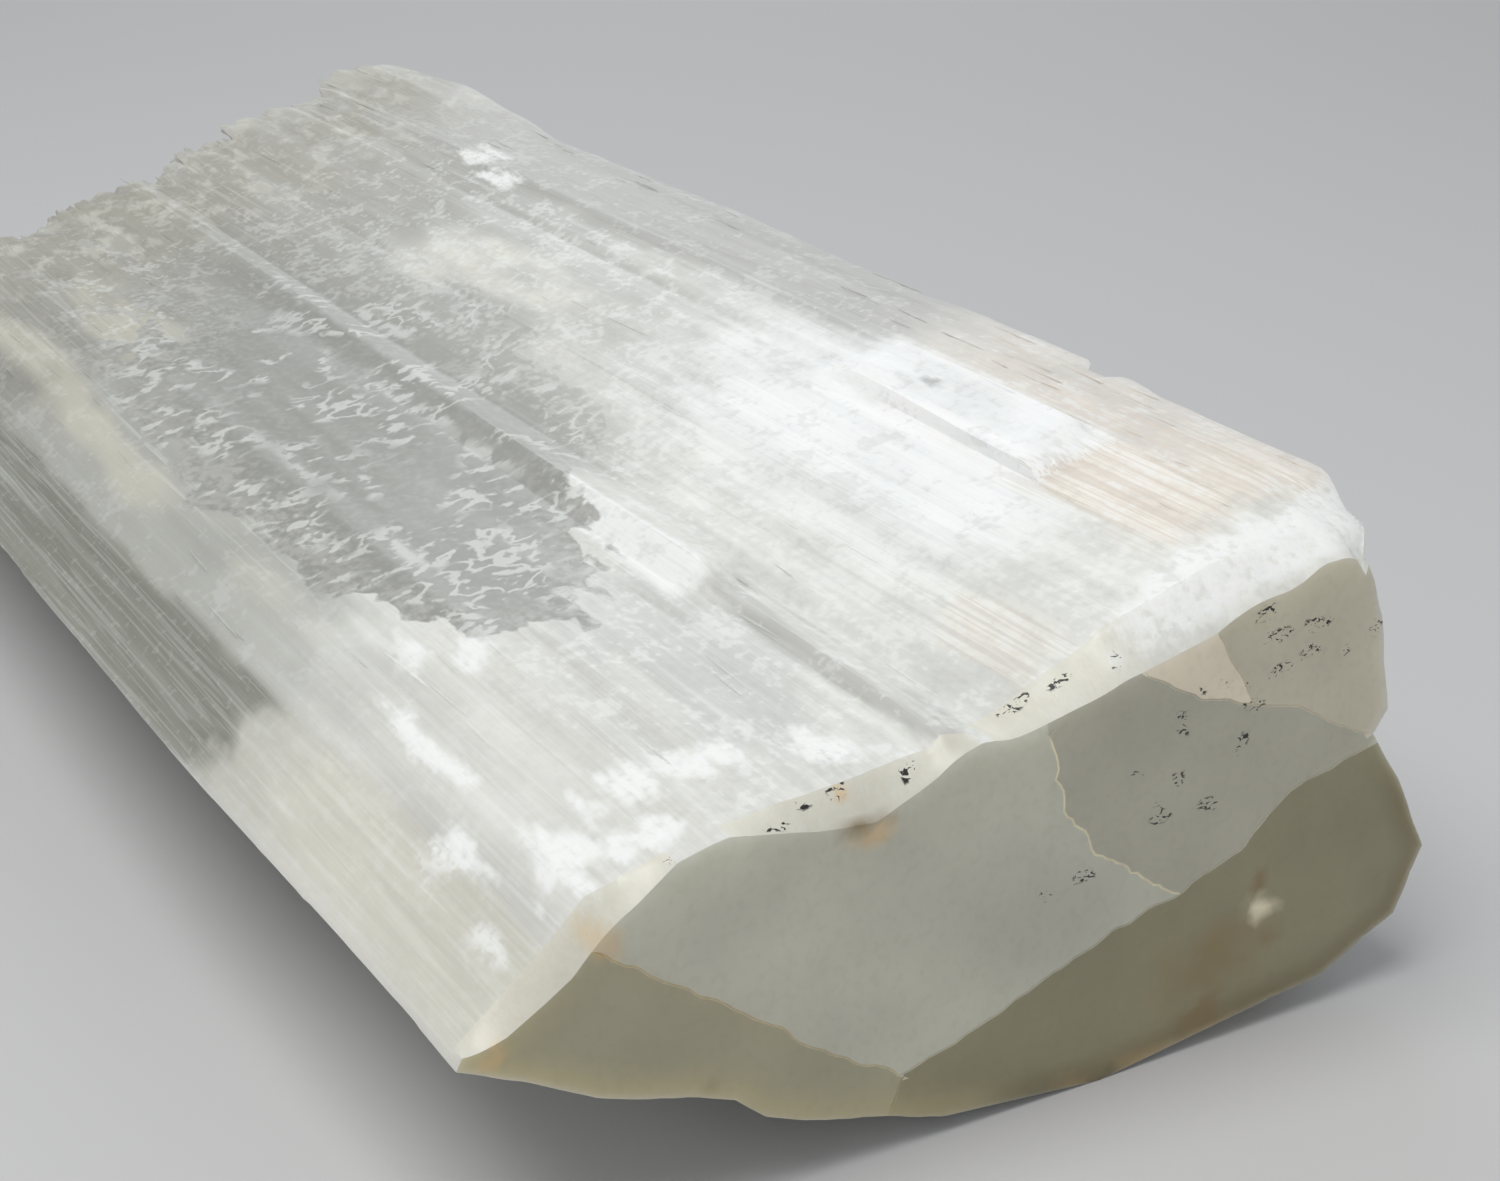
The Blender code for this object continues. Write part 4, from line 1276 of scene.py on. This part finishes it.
# %% Slivers
def needles(name, group, settings):
    """A piece of needles laid along the block, as a plain mesh inside the solid's box."""
    made = bpy.data.objects.new(name, mesh.copy())
    bpy.context.scene.collection.objects.link(made)
    modifier = made.modifiers.new("needles", "NODES")
    modifier.node_group = group
    for socket in group.interface.items_tree:
        if socket.in_out == "INPUT" and socket.name in settings:
            modifier[socket.identifier] = settings[socket.name]
    grown = bpy.data.meshes.new_from_object(made.evaluated_get(bpy.context.evaluated_depsgraph_get()))
    made.modifiers.clear()
    grown.materials.clear()
    grown.materials.append(settings["Material"])
    made.data = grown
    corners = np.empty(len(grown.vertices) * 3)
    grown.vertices.foreach_get("co", corners)
    corners = np.clip(corners.reshape(-1, 3), cad_box[0], cad_box[1])
    grown.vertices.foreach_set("co", corners.ravel())
    print(name + ":", len(grown.polygons), "faces")
    return made


slivers = needles("selenite_slivers", group, {
    "Where": "loose", "Density": 60000.0, "Seed": 4, "Sway": 0.05, "Material": thin_stone,
    "Smallest": (0.10 * MM, 2.0 * MM, 0.08 * MM), "Largest": (0.32 * MM, 10.0 * MM, 0.20 * MM)})
splinters = needles("selenite_splinters", group, {
    "Where": "torn", "Density": 150000.0, "Seed": 9, "Sway": 0.12, "Material": thin_stone,
    "Smallest": (0.3 * MM, 2.0 * MM, 0.2 * MM), "Largest": (0.9 * MM, 7.0 * MM, 0.6 * MM)})

# %% [markdown]
# ## Light, floor and camera
# The block lies on a plain pale floor. A large soft light from above and from the left grazes the steps along the
# blades, a cool one from behind draws the far edge, and a weak one in front keeps the sawn face readable. Coloured or
# hard lights would hide the faint tones of the stone. The camera looks from the photo's viewing angle.

# %% Studio
FLOOR_SIZE, FLOOR_GREY, FLOOR_ROUGHNESS = 6.0, (0.60, 0.60, 0.61, 1.0), 0.8
SKY, SKY_STRENGTH = (0.96, 0.98, 1.0, 1.0), 0.35
BLOCK_MIDDLE = (0, 0, 0.03)
LIGHTS = (
    ("top_light", (-0.24, -0.12, 0.70), (0, -0.04, 0.03), 0.5, 3.6, (1.0, 0.99, 0.97)),
    ("back_light", (0.45, 0.75, 0.45), BLOCK_MIDDLE, 0.5, 1.2, (0.92, 0.97, 1.0)),
    ("front_fill", (0.1, -0.9, 0.35), BLOCK_MIDDLE, 0.6, 0.25, (1.0, 0.97, 0.92)),
)
CAMERA_PLACE, LOOKS_DOWN, LOOKS_ASIDE = (-0.0961, -0.23965, 0.10953), 22.01, 29.89
LENS, SENSOR, NEAREST_SEEN = 60.0, 36.0, 0.01

scene = bpy.context.scene
scene.view_settings.view_transform = "Standard"
bpy.ops.mesh.primitive_plane_add(size=FLOOR_SIZE, location=(0, 0, 0))
floor = bpy.context.object
floor.name = "floor"
floor_paint = bpy.data.materials.new("floor_paint")
floor_paint.use_nodes = True
floor_inputs = floor_paint.node_tree.nodes["Principled BSDF"].inputs
floor_inputs["Base Color"].default_value = FLOOR_GREY
floor_inputs["Roughness"].default_value = FLOOR_ROUGHNESS
floor.data.materials.append(floor_paint)

world = bpy.data.worlds.new("studio")
world.use_nodes = True
sky_inputs = world.node_tree.nodes["Background"].inputs
sky_inputs["Color"].default_value = SKY
sky_inputs["Strength"].default_value = SKY_STRENGTH
scene.world = world


def soft_light(name, place, aim, size, power, colour):
    """A square studio light at a place, turned to face a point."""
    data = bpy.data.lights.new(name, "AREA")
    data.size = size
    data.energy = power
    data.color = colour
    lamp = bpy.data.objects.new(name, data)
    lamp.location = place
    lamp.rotation_euler = (Vector(aim) - Vector(place)).to_track_quat("-Z", "Y").to_euler()
    scene.collection.objects.link(lamp)


for light in LIGHTS:
    soft_light(*light)

camera_data = bpy.data.cameras.new("camera")
camera_data.sensor_width = SENSOR
camera_data.lens = LENS
camera_data.clip_start = NEAREST_SEEN
camera = bpy.data.objects.new("camera", camera_data)
camera.location = CAMERA_PLACE
camera.rotation_euler = (math.radians(90.0 - LOOKS_DOWN), 0.0, math.radians(-LOOKS_ASIDE))
scene.collection.objects.link(camera)
scene.camera = camera
print(len(LIGHTS), "lights, and a camera", round(camera.location.length, 2), "m away")

# %% [markdown]
# ## Finish
# The three pieces lie on the block's one body and stand in for its plain solid, which is hidden.

# %% Finish
for piece in (block, slivers, splinters):
    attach(piece, "root")
    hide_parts("selenite")
